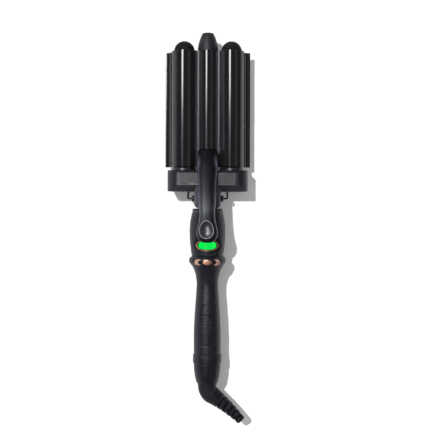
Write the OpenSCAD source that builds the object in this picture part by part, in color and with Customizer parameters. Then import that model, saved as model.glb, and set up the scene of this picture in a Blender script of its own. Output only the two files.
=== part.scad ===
// Triple-barrel hair crimper. Two outer barrels are fixed to a T-shaped head housing.
// A sprung lever lifts the middle barrel, whose two wings close over the outer barrels.
// X runs across the barrels, Y towards their tips and Z up towards the lever.
// Every module is drawn about the centre of the hinge pin and then put in place by placed().

/* [Barrels] */
// Outside diameter of each of the three barrels
barrel_d = 22.8; // [20:0.2:25]
// Wall of a barrel tube
barrel_wall = 1.6; // [1.2:0.1:2]
// Distance between neighbouring barrel axes
barrel_pitch = 25.9; // [25.3:0.1:27]
// Length of the heated stretch
jaw_length = 126.8; // [100:1:160]
// Distance from the hinge pin to the lower end of the jaws
jaw_start = 34.6; // [34.2:0.1:38]
// Gap for hair between a barrel and the shell that closes over it
hair_gap = 1.2; // [0.9:0.1:1.3]
// Wall of the shells that run beside the barrels
shell_wall = 1.4; // [1:0.1:1.6]
// Radius of the valley between a barrel and its shell
valley_r = 5.5; // [4.5:0.1:7]
// Radius of the flared lip along each outer edge
lip_r = 6.9; // [4:0.1:8]

/* [Tips] */
// Length of the middle barrel's cool tip
cool_tip_length = 20; // [12:0.5:26]
// Diameter of the cool tip's flat end
cool_tip_d = 13.2; // [9:0.2:18]
// How far a tip's or plug's spigot reaches into its barrel
spigot_length = 8; // [5:0.5:12]

/* [Heaters] */
// Width of a ceramic heater strip
heater_w = 12; // [8:0.5:14]
// Thickness of a ceramic heater strip
heater_t = 3.4; // [2:0.1:4.5]
// Gap between the heaters' clamps and the spigots in the barrels' ends
heater_gap = 4; // [2:0.5:12]

/* [Head housing] */
// Overall width of the housing
housing_w = 88.1; // [86:0.5:96]
// Lower edge of the cross bar, above the hinge pin
bar_low = 7.8; // [7.5:0.1:9]
// Upper edge of the cross bar, above the hinge pin
bar_top = 30.6; // [29:0.1:31]
// Height of the housing's front face above the pin
bar_front = 15.4; // [15:0.1:15.4]
// Depth of the housing's back below the pin
bar_back = 17.9; // [15:0.1:19]
// Width of the bevel along the front face's upper edge
top_bevel = 3; // [2:0.1:4]
// Depth of that upper bevel
top_bevel_depth = 4.6; // [3:0.1:6]
// Width of the bevel along the front face's lower edge
low_bevel = 6.4; // [4:0.1:6.8]
// Depth of that lower bevel
low_bevel_depth = 7.5; // [3:0.1:8]
// Radius of the bar's front corners
bar_corner_r = 15; // [6:0.5:15.5]
// Radius of the bar's back corners
bar_back_r = 8; // [5:0.5:10]
// Wall of the housing
housing_wall = 2.2; // [1.6:0.1:2.6]
// Width of the neck
neck_w = 28.9; // [27:0.1:32]
// Depth of the neck, front to back
neck_depth = 26; // [24:0.5:28]
// Distance from the pin to the neck's lower end
neck_drop = 10.3; // [9.9:0.1:10.6]
// Radius of the spigot that joins the neck to the handle
neck_spigot_r = 10.4; // [9.8:0.1:10.8]
// Outside diameter of the collar round each fixed barrel
collar_d = 26.2; // [25.6:0.1:27]

/* [Hinge] */
// Diameter of the hinge pin
pin_d = 4; // [3.4:0.1:4.6]
// Radial running clearance of the hinge
pin_clearance = 0.05; // [0.03:0.01:0.08]
// Outside diameter of the caps on the pin's ends
pin_cap_d = 6.8; // [5.6:0.2:8]
// Thickness of a pin cap
pin_cap_t = 2.7; // [1.5:0.1:3.5]
// Wire diameter of the lever's torsion spring
spring_wire_d = 1.1; // [0.8:0.1:1.2]
// Full turns in the torsion spring
spring_turns = 4; // [3:1:4]
// Gap between neighbouring turns of the spring
spring_turn_gap = 0.6; // [0.4:0.05:0.65]

/* [Stand bail] */
// Wire diameter of the stand bail
bail_wire_d = 2; // [1.6:0.1:2.2]
// Distance between the bail's two arms, centre to centre
bail_w = 43.6; // [43:0.2:50]
// Reach of the bail from the pin to its cross wire
bail_reach = 64; // [50:1:90]
// Bend radius of the bail's corners, on the wire's centre line
bail_bend_r = 2.6; // [2.2:0.1:3]

/* [Lever] */
// Reach of the lever's foot from the pin
foot_reach = 53.7; // [50:0.5:60]
// Reach of the thumb pad from the pin
pad_reach = 47.5; // [46:0.5:49]
// Width of the foot
foot_w = 21.3; // [18:0.1:22]
// Width of the lever's shoulder, where it steps over the cross bar
shoulder_w = 23.4; // [22:0.1:25]
// Width of the lever's waist
waist_w = 16.6; // [14.6:0.1:19]
// Width of the thumb pad
pad_w = 22.4; // [19:0.1:25]
// Height of the thumb pad's top above the pin
pad_top = 34.3; // [34:0.1:37]
// Thickness of the lever's cover at the thumb pad
pad_t = 4.9; // [3.5:0.1:5]
// Width of the lever's inner chassis
chassis_w = 14; // [12:0.2:14.4]
// Thickness of the lever's inner chassis
chassis_t = 2.4; // [2:0.1:2.5]
// Length of the egg-shaped thumb dish
dish_length = 19.6; // [15:0.2:20]
// Width of the egg-shaped thumb dish
dish_w = 15.8; // [12:0.2:17]

/* [Handle] */
// Greatest radius of the handle's bulge
bulge_r = 19.65; // [19:0.05:19.9]
// Radius of the bulge at its upper end
bulge_top_r = 16.8; // [16.2:0.1:17.4]
// Radius of the bulge at its lower end
bulge_low_r = 16.9; // [16.6:0.1:17.6]
// Distance from the pin to the widest place of the bulge
bulge_mid = 35.5; // [32:0.5:38]
// Wall of the handle's shells
handle_wall = 2.2; // [1.8:0.1:2.4]
// Length of the cap ring at the top of the handle
top_cap_length = 3.6; // [2.5:0.1:5]
// Distance from the pin to the top of the control ring
ring_start = 63.8; // [63:0.1:66]
// Greatest radius of the control ring
ring_r = 20.2; // [20:0.05:21]
// Length of the control ring
ring_length = 12.5; // [11.5:0.1:14]
// Radius of the grip at its narrowest
grip_waist_r = 11.8; // [11.6:0.1:13]
// Radius of the grip at its lower end
grip_end_r = 14.8; // [14.4:0.1:15.2]
// Distance from the pin to the narrowest place of the grip
grip_waist = 95; // [92:0.5:98]
// Distance from the pin to the lower end of the grip
grip_end = 170.9; // [168:0.5:190]
// Wall of the soft grip sleeve
sleeve_t = 1.9; // [1.5:0.1:2]
// Distance from the pin to the first groove of the grip
groove_start = 94.4; // [92:0.2:98]
// Distance between grooves
groove_pitch = 10.9; // [9:0.1:11.5]
// Number of grooves
groove_count = 7; // [3:1:7]
// Width of a groove
groove_w = 0.9; // [0.6:0.1:1.4]
// Depth of a groove
groove_depth = 0.5; // [0.3:0.1:0.8]

/* [Display and buttons] */
// Distance from the pin to the middle of the display
display_drop = 50.9; // [50.5:0.1:51.4]
// Width of the display window
window_w = 22.6; // [18:0.2:23]
// Height of the display window
window_h = 11.4; // [8:0.2:11.8]
// Width of the bezel's rim
bezel_rim = 1.15; // [0.9:0.05:1.4]
// Width of the dished recess around the bezel
recess_w = 31.2; // [28:0.2:32]
// Height of the dished recess around the bezel
recess_h = 17; // [15.6:0.2:17.4]
// Depth of the dished recess
recess_depth = 1.2; // [0.8:0.1:1.4]
// Distance from the pin to the row of buttons
button_drop = 69.1; // [68.8:0.1:69.6]
// Width of the middle button
power_w = 10.2; // [8:0.2:10.6]
// Height of the middle button
power_h = 5.4; // [4.4:0.2:5.6]
// Width of the oval that each side button is cut from
side_button_w = 7.9; // [7.6:0.1:8.2]
// Height of the oval that each side button is cut from
side_button_h = 6.6; // [6:0.1:7]
// Distance of a side button's oval from the middle
side_button_x = 9.85; // [9.7:0.05:10]
// Travel of a button
button_travel = 0.5; // [0.3:0.05:0.5]
// Clearance round a button
button_clearance = 0.25; // [0.2:0.05:0.35]

/* [End cap and strain relief] */
// Radius of the ring at the end of the grip
end_ring_r = 15.7; // [15.4:0.1:16.6]
// Length of the ring at the end of the grip
end_ring_length = 9.6; // [6:0.1:12]
// Length of the end cup
end_cup_length = 21.6; // [20:0.2:26]
// Radius of the end cup at its mouth
end_cup_mouth_r = 11.8; // [11.6:0.1:12.2]
// Radius of the strain relief where it enters the end cup
relief_r = 10.7; // [10.4:0.05:10.8]
// Radius of the strain relief at its tail
relief_tail_r = 4.9; // [4.6:0.1:5.6]
// Angle that the elbow turns through
elbow_turn = 55; // [40:1:60]
// Bend radius of the elbow's centre line
elbow_r = 11.5; // [11.2:0.1:14]
// Length of the ribbed tail
tail_length = 43.4; // [38:0.2:60]
// Angle that the tail curves back through
tail_turn = 12; // [4:1:20]
// Number of full ribs on the tail
rib_count = 5; // [4:1:8]
// Depth of the gaps between ribs
rib_depth = 0.9; // [0.5:0.1:1]
// Radius of the hole for the cord
cord_bore_r = 3; // [2.5:0.1:3.2]
// Straight length of the cord hole
cord_bore_length = 14; // [8:0.5:16]

/* [Hidden] */
$fn = 64;
curve_steps = 18;
seat = 0.1; // clearance between pieces that are seated in each other
free_gap = 0.4; // clearance between pieces that move past each other

barrel_r = barrel_d / 2;
bore_r = barrel_r - barrel_wall;
shell_in_r = barrel_r + hair_gap;
shell_out_r = shell_in_r + shell_wall;
jaw_end = jaw_start + jaw_length;
web_edge = 2.2; // height at which a web stops short of the plane of the barrel axes

// Centre of the valley circle, which touches the barrel and the shell from outside
valley_to_barrel = barrel_r + valley_r;
valley_to_shell = shell_out_r + valley_r;
valley_x = (pow(valley_to_barrel, 2) - pow(valley_to_shell, 2) + pow(barrel_pitch, 2)) / (2 * barrel_pitch);
valley_z = sqrt(pow(valley_to_barrel, 2) - pow(valley_x, 2));

collar_r = collar_d / 2;
collar_top = jaw_start - free_gap - 0.2;
collar_low = bar_top - 8;
fixed_low = bar_low + housing_wall + 4.5; // lower ends of the fixed barrels, inside the housing
clamp_overhang = 4; // how far a clamp reaches past its heater
clamp_start = jaw_start + spigot_length + heater_gap;
clamp_end = jaw_end - spigot_length - heater_gap;

pin_r = pin_d / 2;
slot_half = chassis_w / 2 + free_gap;
slot_floor = -5.3; // floor of the slot for the lever's ears
slot_low = -8.2;
ear_r = 4.9; // lever's ears round the pin
ear_t = 2.4;
pin_half = neck_w / 2 + pin_cap_t - 0.8;
spring_mid_r = pin_r + 0.55 + spring_wire_d / 2;
spring_first = 180; // angle at which the upper leg leaves the turns
spring_angle = 360 * spring_turns + 75;
spring_steps = 8 * spring_turns + 2;
bail_wire_r = bail_wire_d / 2;
bail_end_r = bail_wire_r - 0.1; // the bail's ends are turned down to run in the pin
bail_end_in = 6; // depth of the bail's ends in the pin
bail_z = -ring_r + bail_wire_r; // the folded bail lies on the table
bail_crank = 6; // offset of the bail's arms past the pin, along Y

over_bar = bar_front + 0.5; // underside of the chassis where it passes over the housing
chassis_top = over_bar + chassis_t;
cover_low = chassis_top + seat;
plate_top_z = barrel_r + 2; // top of the chassis's foot plate
foot_side_z = barrel_r - 2.3; // lower edge of the cover along the foot
dish_y = -pad_reach * 0.708; // middle of the thumb dish
dish_slope = 6; // tilt of the dish, which follows the pad's top
dish_rim = 0.4; // how far the dish's rim stands proud
dish_depth = 1.3; // how deep the dish's seat goes below its rim

axis_z = ring_r; // the control ring's back rests on the table
bulge_start = neck_drop + 0.7 + top_cap_length + 0.2;
spigot_end = bulge_start + 14; // lower end of the neck's spigot
core_r = ring_r - 3.2; // the shells inside the control ring
core_inset = sleeve_t + 0.05; // from the sleeve's outside to the core it sits on
ring_end = ring_start + ring_length;
cup_start = grip_end + end_ring_length;
cup_end = cup_start + end_cup_length;
cup_in_r = 12.4; // bore of the end pieces, in which the swivel hub turns
display_r = bulge_at(display_drop);
window_r = display_r - 0.6;
button_floor = core_r - handle_wall; // inside radius of the shells under the ring
switch_x = 7.7;
foot_top = sqrt(pow(button_floor, 2) - pow(switch_x + 2, 2)) - 0.3; // top of a button's foot
foot_t = 0.8;
board_t = 1.6;
power_board_in = 18; // distance of the power board from each end of the grip's straight stretch
switch_gap = button_travel + 0.2;
switch_h = 3.6;
board_top = foot_top - foot_t - switch_gap - switch_h;
boss_x = 12;
boss_r = 2.4; // screw bosses of the front shells
boss_rear_r = 3;
screw_r = 1.2;
screw_head_r = 2.3;
screw_head_t = 1.8;
screw_seat_z = -5; // plane that the screws' heads bear on, in the rear shells
lead_x = 2.6; // leads in the neck and the handle
lead_z = -6.9;
lead_r = 1.2;

relief_start = cup_end + 0.5;
elbow_start = relief_start + 3.4;
elbow_side_r = 9.9; // radius of the elbow's own section
ribs_from = 0.27; // share of the tail where the full ribs begin
rib_pitch = (1 - ribs_from) / rib_count;
rib_share = 0.74; // share of the pitch that a rib takes
tail_r = tail_length / (tail_turn * PI / 180);
elbow_end = [elbow_r * (1 - cos(elbow_turn)), -elbow_start - elbow_r * sin(elbow_turn)];
tail_tip = tail_point(1);
tail_low = tail_tip[1] - relief_tail_r * cos(90 - elbow_turn + tail_turn);
tip_end = jaw_end + cool_tip_length;
hinge_y = -(tip_end + tail_low) / 2; // puts the middle of the overall length at the origin

// ---------- helpers ----------

// Puts what is drawn about the hinge pin into the part's own frame
module placed() {
    translate([0, hinge_y, axis_z])
        children();
}

// Extrudes a section drawn in X and Z from low to high along Y
module along_y(low, high) {
    translate([0, high, 0])
        rotate([90, 0, 0])
            linear_extrude(height = high - low)
                children();
}

// Extrudes a side view drawn in Y and Z, from one X to another
module along_x(from, to) {
    translate([from, 0, 0])
        rotate([90, 0, 90])
            linear_extrude(height = to - from)
                children();
}

// Turns a profile of radius and Y about the Y axis
module turned() {
    rotate([-90, 0, 0])
        rotate_extrude()
            children();
}

module rod_y(r, low, high) {
    translate([0, low, 0])
        rotate([-90, 0, 0])
            cylinder(h = high - low, r = r);
}

module rod_x(r, from, to) {
    translate([from, 0, 0])
        rotate([0, 90, 0])
            cylinder(h = to - from, r = r);
}

// A ring of rectangular section round the Y axis
module band(r_in, r_out, low, high) {
    difference() {
        rod_y(r_out, low, high);
        rod_y(r_in, low - 1, high + 1);
    }
}

module block(x_low, x_high, y_low, y_high, z_low, z_high) {
    translate([x_low, y_low, z_low])
        cube([x_high - x_low, y_high - y_low, z_high - z_low]);
}

function oval(half_x, half_y, count = 48) =
    [for (i = [0 : count - 1]) [half_x * cos(360 * i / count), half_y * sin(360 * i / count)]];

function arc(centre, r, from, to, count = 8) =
    [for (i = [0 : count]) let (a = from + (to - from) * i / count)
        [centre[0] + r * cos(a), centre[1] + r * sin(a)]];

// A rectangle with its own radius at the two upper and the two lower corners
function rounded(half_w, low, high, r_high, r_low) = concat(
    arc([half_w - r_high, high - r_high], r_high, 0, 90),
    arc([-half_w + r_high, high - r_high], r_high, 90, 180),
    arc([-half_w + r_low, low + r_low], r_low, 180, 270),
    arc([half_w - r_low, low + r_low], r_low, 270, 360));

function unit(v) = v / norm(v);

function turn_at(points, i) =
    acos(unit(points[i] - points[i - 1]) * unit(points[i + 1] - points[i]));

// Points of the round bend at one corner of a wire's route
function bend_points(points, i, bend_r, count = 4) =
    let (before = unit(points[i] - points[i - 1]), after = unit(points[i + 1] - points[i]),
        turn = turn_at(points, i), inward = cross(unit(cross(before, after)), before),
        centre = points[i] - before * bend_r * tan(turn / 2) + inward * bend_r)
    [for (k = [0 : count]) let (a = turn * k / count)
        centre - inward * bend_r * cos(a) + before * bend_r * sin(a)];

function wire_path(points, bend_r) = let (last = len(points) - 1) concat([points[0]],
    [for (i = [1 : last - 1]) each bend_points(points, i, bend_r)],
    [points[last]]);

// Direction of travel at each point of a path
function headings(path) = let (last = len(path) - 1)
    [for (i = [0 : last]) unit(path[min(i + 1, last)] - path[max(i - 1, 0)])];

// Rings round a path, carried along it without twisting
function tube_rings(path, r, sides, side_hint) = let (t = headings(path), n = len(path))
    [for (i = 0, u = unit(side_hint - (side_hint * t[0]) * t[0]); i < n;
        i = i + 1, u = i < n ? unit(u - (u * t[i]) * t[i]) : u)
        let (v = cross(t[i], u))
            [for (k = [0 : sides - 1]) let (a = -360 * k / sides)
                path[i] + r * (cos(a) * u + sin(a) * v)]];

// Wire of round section through points, with a round bend at each inner one
module wire(points, r, bend_r, side_hint, sides = 10) {
    skin(tube_rings(wire_path(points, bend_r), r, sides, side_hint));
}

// Closed skin over rings that have the same number of points, first ring to last
module skin(rings) {
    n = len(rings[0]);
    m = len(rings);
    points = [for (ring = rings) each ring];
    sides = [for (j = [0 : m - 2]) for (i = [0 : n - 1]) let (k = (i + 1) % n)
        each [[j * n + i, j * n + k, (j + 1) * n + k], [j * n + i, (j + 1) * n + k, (j + 1) * n + i]]];
    first = [for (i = [n - 1 : -1 : 0]) i];
    final = [for (i = [0 : n - 1]) (m - 1) * n + i];
    polyhedron(points = points, faces = concat([first], sides, [final]), convexity = 6);
}

// ---------- fixed jaw, its heaters and collars ----------

module barrel_section() {
    difference() {
        circle(barrel_r);
        circle(bore_r);
    }
}

// Web between a barrel at the origin and the shell round an axis one pitch to the right
module web_section() {
    mid_wall = barrel_r - barrel_wall / 2;
    mid_shell = shell_out_r - shell_wall / 2;
    to_barrel = [valley_x, valley_z] * mid_wall / valley_to_barrel;
    to_shell = [valley_x - barrel_pitch, valley_z] * mid_shell / valley_to_shell;
    difference() {
        polygon([
            [sqrt(pow(mid_wall, 2) - pow(web_edge, 2)), web_edge],
            to_barrel,
            to_shell + [barrel_pitch, 0],
            [barrel_pitch - sqrt(pow(mid_shell, 2) - pow(web_edge, 2)), web_edge]]);
        translate([valley_x, valley_z])
            circle(valley_r);
        circle(mid_wall);
        translate([barrel_pitch, 0])
            circle(shell_in_r);
    }
}

module shell_ring() {
    difference() {
        circle(shell_out_r);
        circle(shell_in_r);
    }
}

// Trough behind the middle barrel
module trough_section() {
    intersection() {
        shell_ring();
        translate([-shell_out_r, -shell_out_r])
            square([2 * shell_out_r, shell_out_r - web_edge]);
    }
}

module fixed_jaw() {
    color("#141416")
        placed() {
            for (side = [-1, 1])
                translate([side * barrel_pitch, 0, 0])
                    along_y(fixed_low, jaw_end)
                        barrel_section();
            along_y(jaw_start, jaw_end)
                trough_section();
            for (side = [0, 1])
                mirror([side, 0, 0])
                    along_y(jaw_start, jaw_end)
                        translate([barrel_pitch, 0])
                            rotate(180)
                                web_section();
        }
}

// Round cap with a spigot in the barrel's end
module dome_cap(side) {
    color("#18181a")
        placed()
            translate([side * barrel_pitch, jaw_end, 0]) {
                intersection() {
                    sphere(barrel_r, $fn = 96);
                    rod_y(barrel_r + 1, 0, barrel_r + 1);
                }
                rod_y(bore_r - seat, -spigot_length, 0.5);
            }
}

module left_dome_cap() {
    dome_cap(-1);
}

module right_dome_cap() {
    dome_cap(1);
}

module barrel_collars() {
    lead = 1.2;
    color("#202022")
        placed()
            for (side = [-1, 1])
                translate([side * barrel_pitch, 0, 0])
                    difference() {
                        union() {
                            rod_y(collar_r, collar_low, collar_top - lead);
                            translate([0, collar_top - lead, 0])
                                rotate([-90, 0, 0])
                                    cylinder(h = lead, r1 = collar_r, r2 = collar_r - lead);
                        }
                        rod_y(barrel_r + seat, collar_low - 1, collar_top + 1);
                    }
}

module heater_strip(x) {
    block(x - heater_w / 2, x + heater_w / 2, clamp_start + clamp_overhang, clamp_end - clamp_overhang,
        -heater_t / 2, heater_t / 2);
}

// Half-round clamps that press a heater strip and fill the barrel's bore
module heater_clamps(x) {
    translate([x, 0, 0])
        along_y(clamp_start, clamp_end)
            difference() {
                circle(bore_r - seat);
                translate([-bore_r, -heater_t / 2 - seat])
                    square([2 * bore_r, heater_t + 2 * seat]);
                circle(2.2);
            }
}

module fixed_heaters() {
    color("#d8d2c4")
        placed()
            for (side = [-1, 1])
                heater_strip(side * barrel_pitch);
}

module fixed_heater_clamps() {
    color("#b9bcc0")
        placed()
            for (side = [-1, 1])
                heater_clamps(side * barrel_pitch);
}

module thermal_fuse() {
    fuse_r = 2;
    color("#c8c8c0")
        placed()
            translate([-barrel_pitch, 0, bore_r - seat - fuse_r])
                rod_y(fuse_r, clamp_start - 0.3 - 11, clamp_start - 0.3);
}

module thermistor() {
    bead_r = 1.6;
    color("#c4a060")
        placed()
            translate([barrel_pitch, 0, bore_r - seat - bead_r])
                rod_y(bead_r, clamp_start - 0.3 - 6, clamp_start - 0.3);
}

// ---------- head housing and hinge ----------

// Cross bar's section in X and Z
module bar_section(inset) {
    polygon(rounded(housing_w / 2 - inset, -bar_back + inset, bar_front - inset,
        bar_corner_r - inset, bar_back_r - inset));
}

// Cross bar's side view in Y and Z, with a bevel along each front and back edge
module bar_side(inset) {
    low = bar_low + inset;
    high = bar_top - inset;
    front = bar_front - inset;
    back = -bar_back + inset;
    back_bevel = 3;
    polygon([
        [low + back_bevel, back], [high - back_bevel, back], [high, back + back_bevel],
        [high, front - top_bevel_depth], [high - top_bevel, front],
        [low + low_bevel, front], [low, front - low_bevel_depth], [low, back + back_bevel]]);
}

module cross_bar(inset) {
    intersection() {
        along_y(bar_low + inset, bar_top - inset)
            bar_section(inset);
        along_x(-housing_w, housing_w)
            bar_side(inset);
    }
}

// Neck seen from the front, with its chamfered lower end
module neck_plan(inset) {
    half = neck_w / 2 - inset;
    chamfer_x = 3.6;
    chamfer_y = 4.4;
    top_half = 12 - inset;
    polygon([
        [-half + chamfer_x, -neck_drop + inset], [half - chamfer_x, -neck_drop + inset],
        [half, -neck_drop + chamfer_y], [half, bar_low + 6],
        [top_half, bar_top - 2.5], [-top_half, bar_top - 2.5],
        [-half, bar_low + 6], [-half, -neck_drop + chamfer_y]]);
}

module neck(inset) {
    corner = 7 - inset;
    intersection() {
        translate([0, 0, -neck_depth])
            linear_extrude(height = 2 * neck_depth)
                neck_plan(inset);
        along_y(-neck_drop - 1, bar_top)
            polygon(rounded(neck_w / 2 - inset, -neck_depth / 2 + inset,
                bar_front + 0.3 - inset, corner, corner));
    }
}

module housing_body() {
    difference() {
        union() {
            cross_bar(0);
            neck(0);
            rod_y(neck_spigot_r, -spigot_end, -neck_drop + 1);
        }
        // Room inside the cross bar for the barrels' ends and the leads
        difference() {
            cross_bar(housing_wall);
            for (side = [-1, 1])
                translate([side * neck_w / 2 - 1, 0, 0])
                    block(0, 2, bar_low, bar_low + 6, 2, bar_front);
        }
        // Slot for the lever's ears, open to the front
        block(-slot_half, slot_half, slot_low, bar_low + 6, slot_floor, bar_front + 2);
        block(-slot_half, slot_half, bar_low + 5, bar_top + 1, bar_front - 4.4, bar_front + 2);
        // Passage for the leads, down through the neck and the spigot
        block(-lead_x - 2.4, lead_x + 2.4, -neck_drop + 1.5, bar_low + housing_wall + 1,
            -neck_depth / 2 + housing_wall, slot_floor - 0.3);
        rod_y(neck_spigot_r - 1.6, -spigot_end - 1, -neck_drop + 1.6);
        // Holes for the collars
        for (side = [-1, 1])
            translate([side * barrel_pitch, 0, 0])
                rod_y(collar_r + seat, collar_low - 1, bar_top + 1);
        rod_x(pin_r + pin_clearance, -neck_w, neck_w);
    }
}

// Screws beside the fixed barrels and between the collars
function housing_screw_places() = [for (side = [-1, 1]) each [
    [side * (barrel_pitch + barrel_r + free_gap + boss_rear_r), (bar_low + bar_top) / 2],
    [side * (barrel_pitch - collar_r - free_gap - seat - boss_rear_r - 1.3), bar_top - 5.6]]];

module housing_front() {
    color("#2b2b2e")
        placed()
            difference() {
                union() {
                    intersection() {
                        housing_body();
                        block(-housing_w, housing_w, -60, 60, 0, 60);
                    }
                    intersection() {
                        cross_bar(0.5);
                        for (p = housing_screw_places())
                            translate([p[0], p[1], 0])
                                cylinder(h = bar_front, r = boss_r);
                    }
                }
                for (p = housing_screw_places())
                    translate([p[0], p[1], -1])
                        cylinder(h = 8, r = screw_r);
            }
}

module housing_rear() {
    color("#262628")
        placed()
            difference() {
                union() {
                    intersection() {
                        housing_body();
                        block(-housing_w, housing_w, -60, 60, -60, 0);
                    }
                    intersection() {
                        cross_bar(0.5);
                        for (p = housing_screw_places())
                            translate([p[0], p[1], -bar_back])
                                cylinder(h = bar_back, r = boss_rear_r);
                    }
                }
                for (p = housing_screw_places()) {
                    translate([p[0], p[1], -bar_back - 1])
                        cylinder(h = bar_back + 2, r = screw_r + 0.3);
                    translate([p[0], p[1], -bar_back - 1])
                        cylinder(h = bar_back + 1 + screw_seat_z, r = screw_head_r + 0.2);
                }
            }
}

// Screw with its head under the seat and its point towards the front
module screw(length) {
    translate([0, 0, screw_seat_z - screw_head_t]) {
        cylinder(h = screw_head_t, r = screw_head_r);
        cylinder(h = screw_head_t + length, r = screw_r);
    }
}

module housing_screws() {
    color("#5a5a5e")
        placed()
            for (p = housing_screw_places())
                translate([p[0], p[1], 0])
                    screw(9.2);
}

// Two insulated leads from the heaters, through the housing, to the power board
module head_leads() {
    crossing = fixed_low - 2.3; // height at which they pass under the barrels' ends
    color("#7a1f1f")
        placed()
            for (side = [-1, 1])
                wire([
                    [side * barrel_pitch, clamp_start - 0.3, lead_z],
                    [side * barrel_pitch, crossing + 6, lead_z],
                    [side * (barrel_pitch - 4), crossing, lead_z],
                    [side * lead_x, crossing, lead_z],
                    [side * lead_x, -power_board_start() - 3, lead_z]],
                    lead_r, 2.6, [0, 0, 1], 8);
}

module hinge_pin() {
    color("#9a9da2")
        placed()
            difference() {
                rod_x(pin_r, -pin_half, pin_half);
                for (side = [0, 1])
                    mirror([side, 0, 0])
                        rod_x(bail_end_r + pin_clearance, pin_half - bail_end_in - 0.5, pin_half + 1);
            }
}

module pin_caps() {
    color("#111113")
        placed()
            for (side = [0, 1])
                mirror([side, 0, 0])
                    difference() {
                        rod_x(pin_cap_d / 2, neck_w / 2 + 0.15, neck_w / 2 + 0.15 + pin_cap_t);
                        rod_x(pin_r + 0.02, neck_w / 2 - 1, pin_half + 0.05);
                        rod_x(bail_end_r + pin_clearance, pin_half - 1, pin_half + pin_cap_t + 2);
                    }
}

// Centre line of the torsion spring: a leg up under the lever, the turns, a leg on the slot's floor
function spring_helix() = [for (i = [0 : spring_steps])
    let (a = spring_angle * i / spring_steps)
        [(a - spring_angle / 2) / 360 * (spring_wire_d + spring_turn_gap),
            spring_mid_r * cos(spring_first + a), spring_mid_r * sin(spring_first + a)]];
function spring_path() = let (helix = spring_helix(), last = helix[spring_steps],
    end_angle = spring_first + spring_angle) concat(
    [[helix[0][0], helix[0][1], over_bar + 0.9]],
    helix,
    [last + 7 * [0, -sin(end_angle), cos(end_angle)]]);

module torsion_spring() {
    color("#8c8f94")
        placed()
            skin(tube_rings(spring_path(), spring_wire_d / 2, 6, [1, 0, 0]));
}

// Least gap between the turns of the spring, measured between its centre line's points
spring_gap = min([for (i = [0 : spring_steps]) for (j = [i + 6 : 1 : spring_steps])
    norm(spring_helix()[i] - spring_helix()[j])]) - spring_wire_d;
echo(spring_gap = spring_gap);

// ---------- handle ----------

// Outer radius of the bulge at a distance below the pin
function bulge_at(drop) = drop < bulge_mid
    ? bulge_r - (bulge_r - bulge_top_r) * pow((bulge_mid - drop) / (bulge_mid - bulge_start), 2)
    : bulge_r - (bulge_r - bulge_low_r) * pow((drop - bulge_mid) / (ring_start - bulge_mid), 2);

// Outer radius of the grip at a distance below the pin
function grip_at(drop) = drop < grip_waist
    ? grip_waist_r + 3.6 * pow((grip_waist - drop) / (grip_waist - ring_end), 2.2)
    : drop < grip_waist + 58
        ? grip_waist_r + (grip_end_r - grip_waist_r) * pow(sin(90 * (drop - grip_waist) / 58), 1.25)
        : grip_end_r;

function bulge_line(inset) = [for (i = [0 : curve_steps])
    let (drop = bulge_start + (ring_start - bulge_start) * i / curve_steps)
        [bulge_at(drop) - inset, -drop]];

function grip_line(inset) = [for (i = [0 : 2 * curve_steps])
    let (drop = ring_end + (grip_end - ring_end) * i / (2 * curve_steps))
        [grip_at(drop) - inset, -drop]];

// Solid of the handle's shells: the bulge, the stretch inside the ring and the core of the grip
module handle_solid(inset) {
    turned()
        polygon(concat(
            [[0, -bulge_start]],
            bulge_line(inset),
            [[core_r - inset, -ring_start], [core_r - inset, -ring_end + 2.6]],
            [[grip_at(ring_end) - core_inset - inset, -ring_end]],
            grip_line(core_inset + inset),
            [[0, -grip_end]]));
}

module handle_tube() {
    difference() {
        handle_solid(0);
        difference() {
            handle_solid(handle_wall);
            // Collars that hold the head's spigot
            band(neck_spigot_r + seat, bulge_r, -bulge_start - 6, -bulge_start + 1);
            band(neck_spigot_r + seat, bulge_r, -spigot_end + 1, -spigot_end + 3.5);
        }
        rod_y(neck_spigot_r + seat, -bulge_start - 6, -bulge_start + 1);
        rod_y(grip_at(grip_end) - core_inset - handle_wall, -grip_end - 1, -grip_end + 3);
    }
}

function handle_screw_places() = [for (side = [-1, 1]) each [
    [side * boss_x, -spigot_end - boss_rear_r - 0.5], [side * boss_x, -ring_start + boss_rear_r]]];

module at_display() {
    translate([0, -display_drop, 0])
        linear_extrude(height = 40)
            children();
}

module handle_front_shell() {
    color("#28282b")
        placed()
            difference() {
                union() {
                    intersection() {
                        handle_tube();
                        block(-40, 40, -grip_end - 1, 0, 0, 40);
                    }
                    intersection() {
                        handle_solid(handle_wall / 2);
                        for (p = handle_screw_places())
                            translate([p[0], p[1], 0])
                                cylinder(h = 30, r = boss_r);
                    }
                }
                for (p = handle_screw_places())
                    translate([p[0], p[1], -1])
                        cylinder(h = 7, r = screw_r);
                // Dished recess round the display
                intersection() {
                    at_display()
                        polygon(oval(recess_w / 2, recess_h / 2));
                    band(display_r - recess_depth, display_r + 4, -ring_start, -bulge_start);
                }
                at_display()
                    polygon(oval(window_w / 2 + seat, window_h / 2 + seat));
                for (side = [-1, 0, 1])
                    button_hole(side);
            }
}

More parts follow.
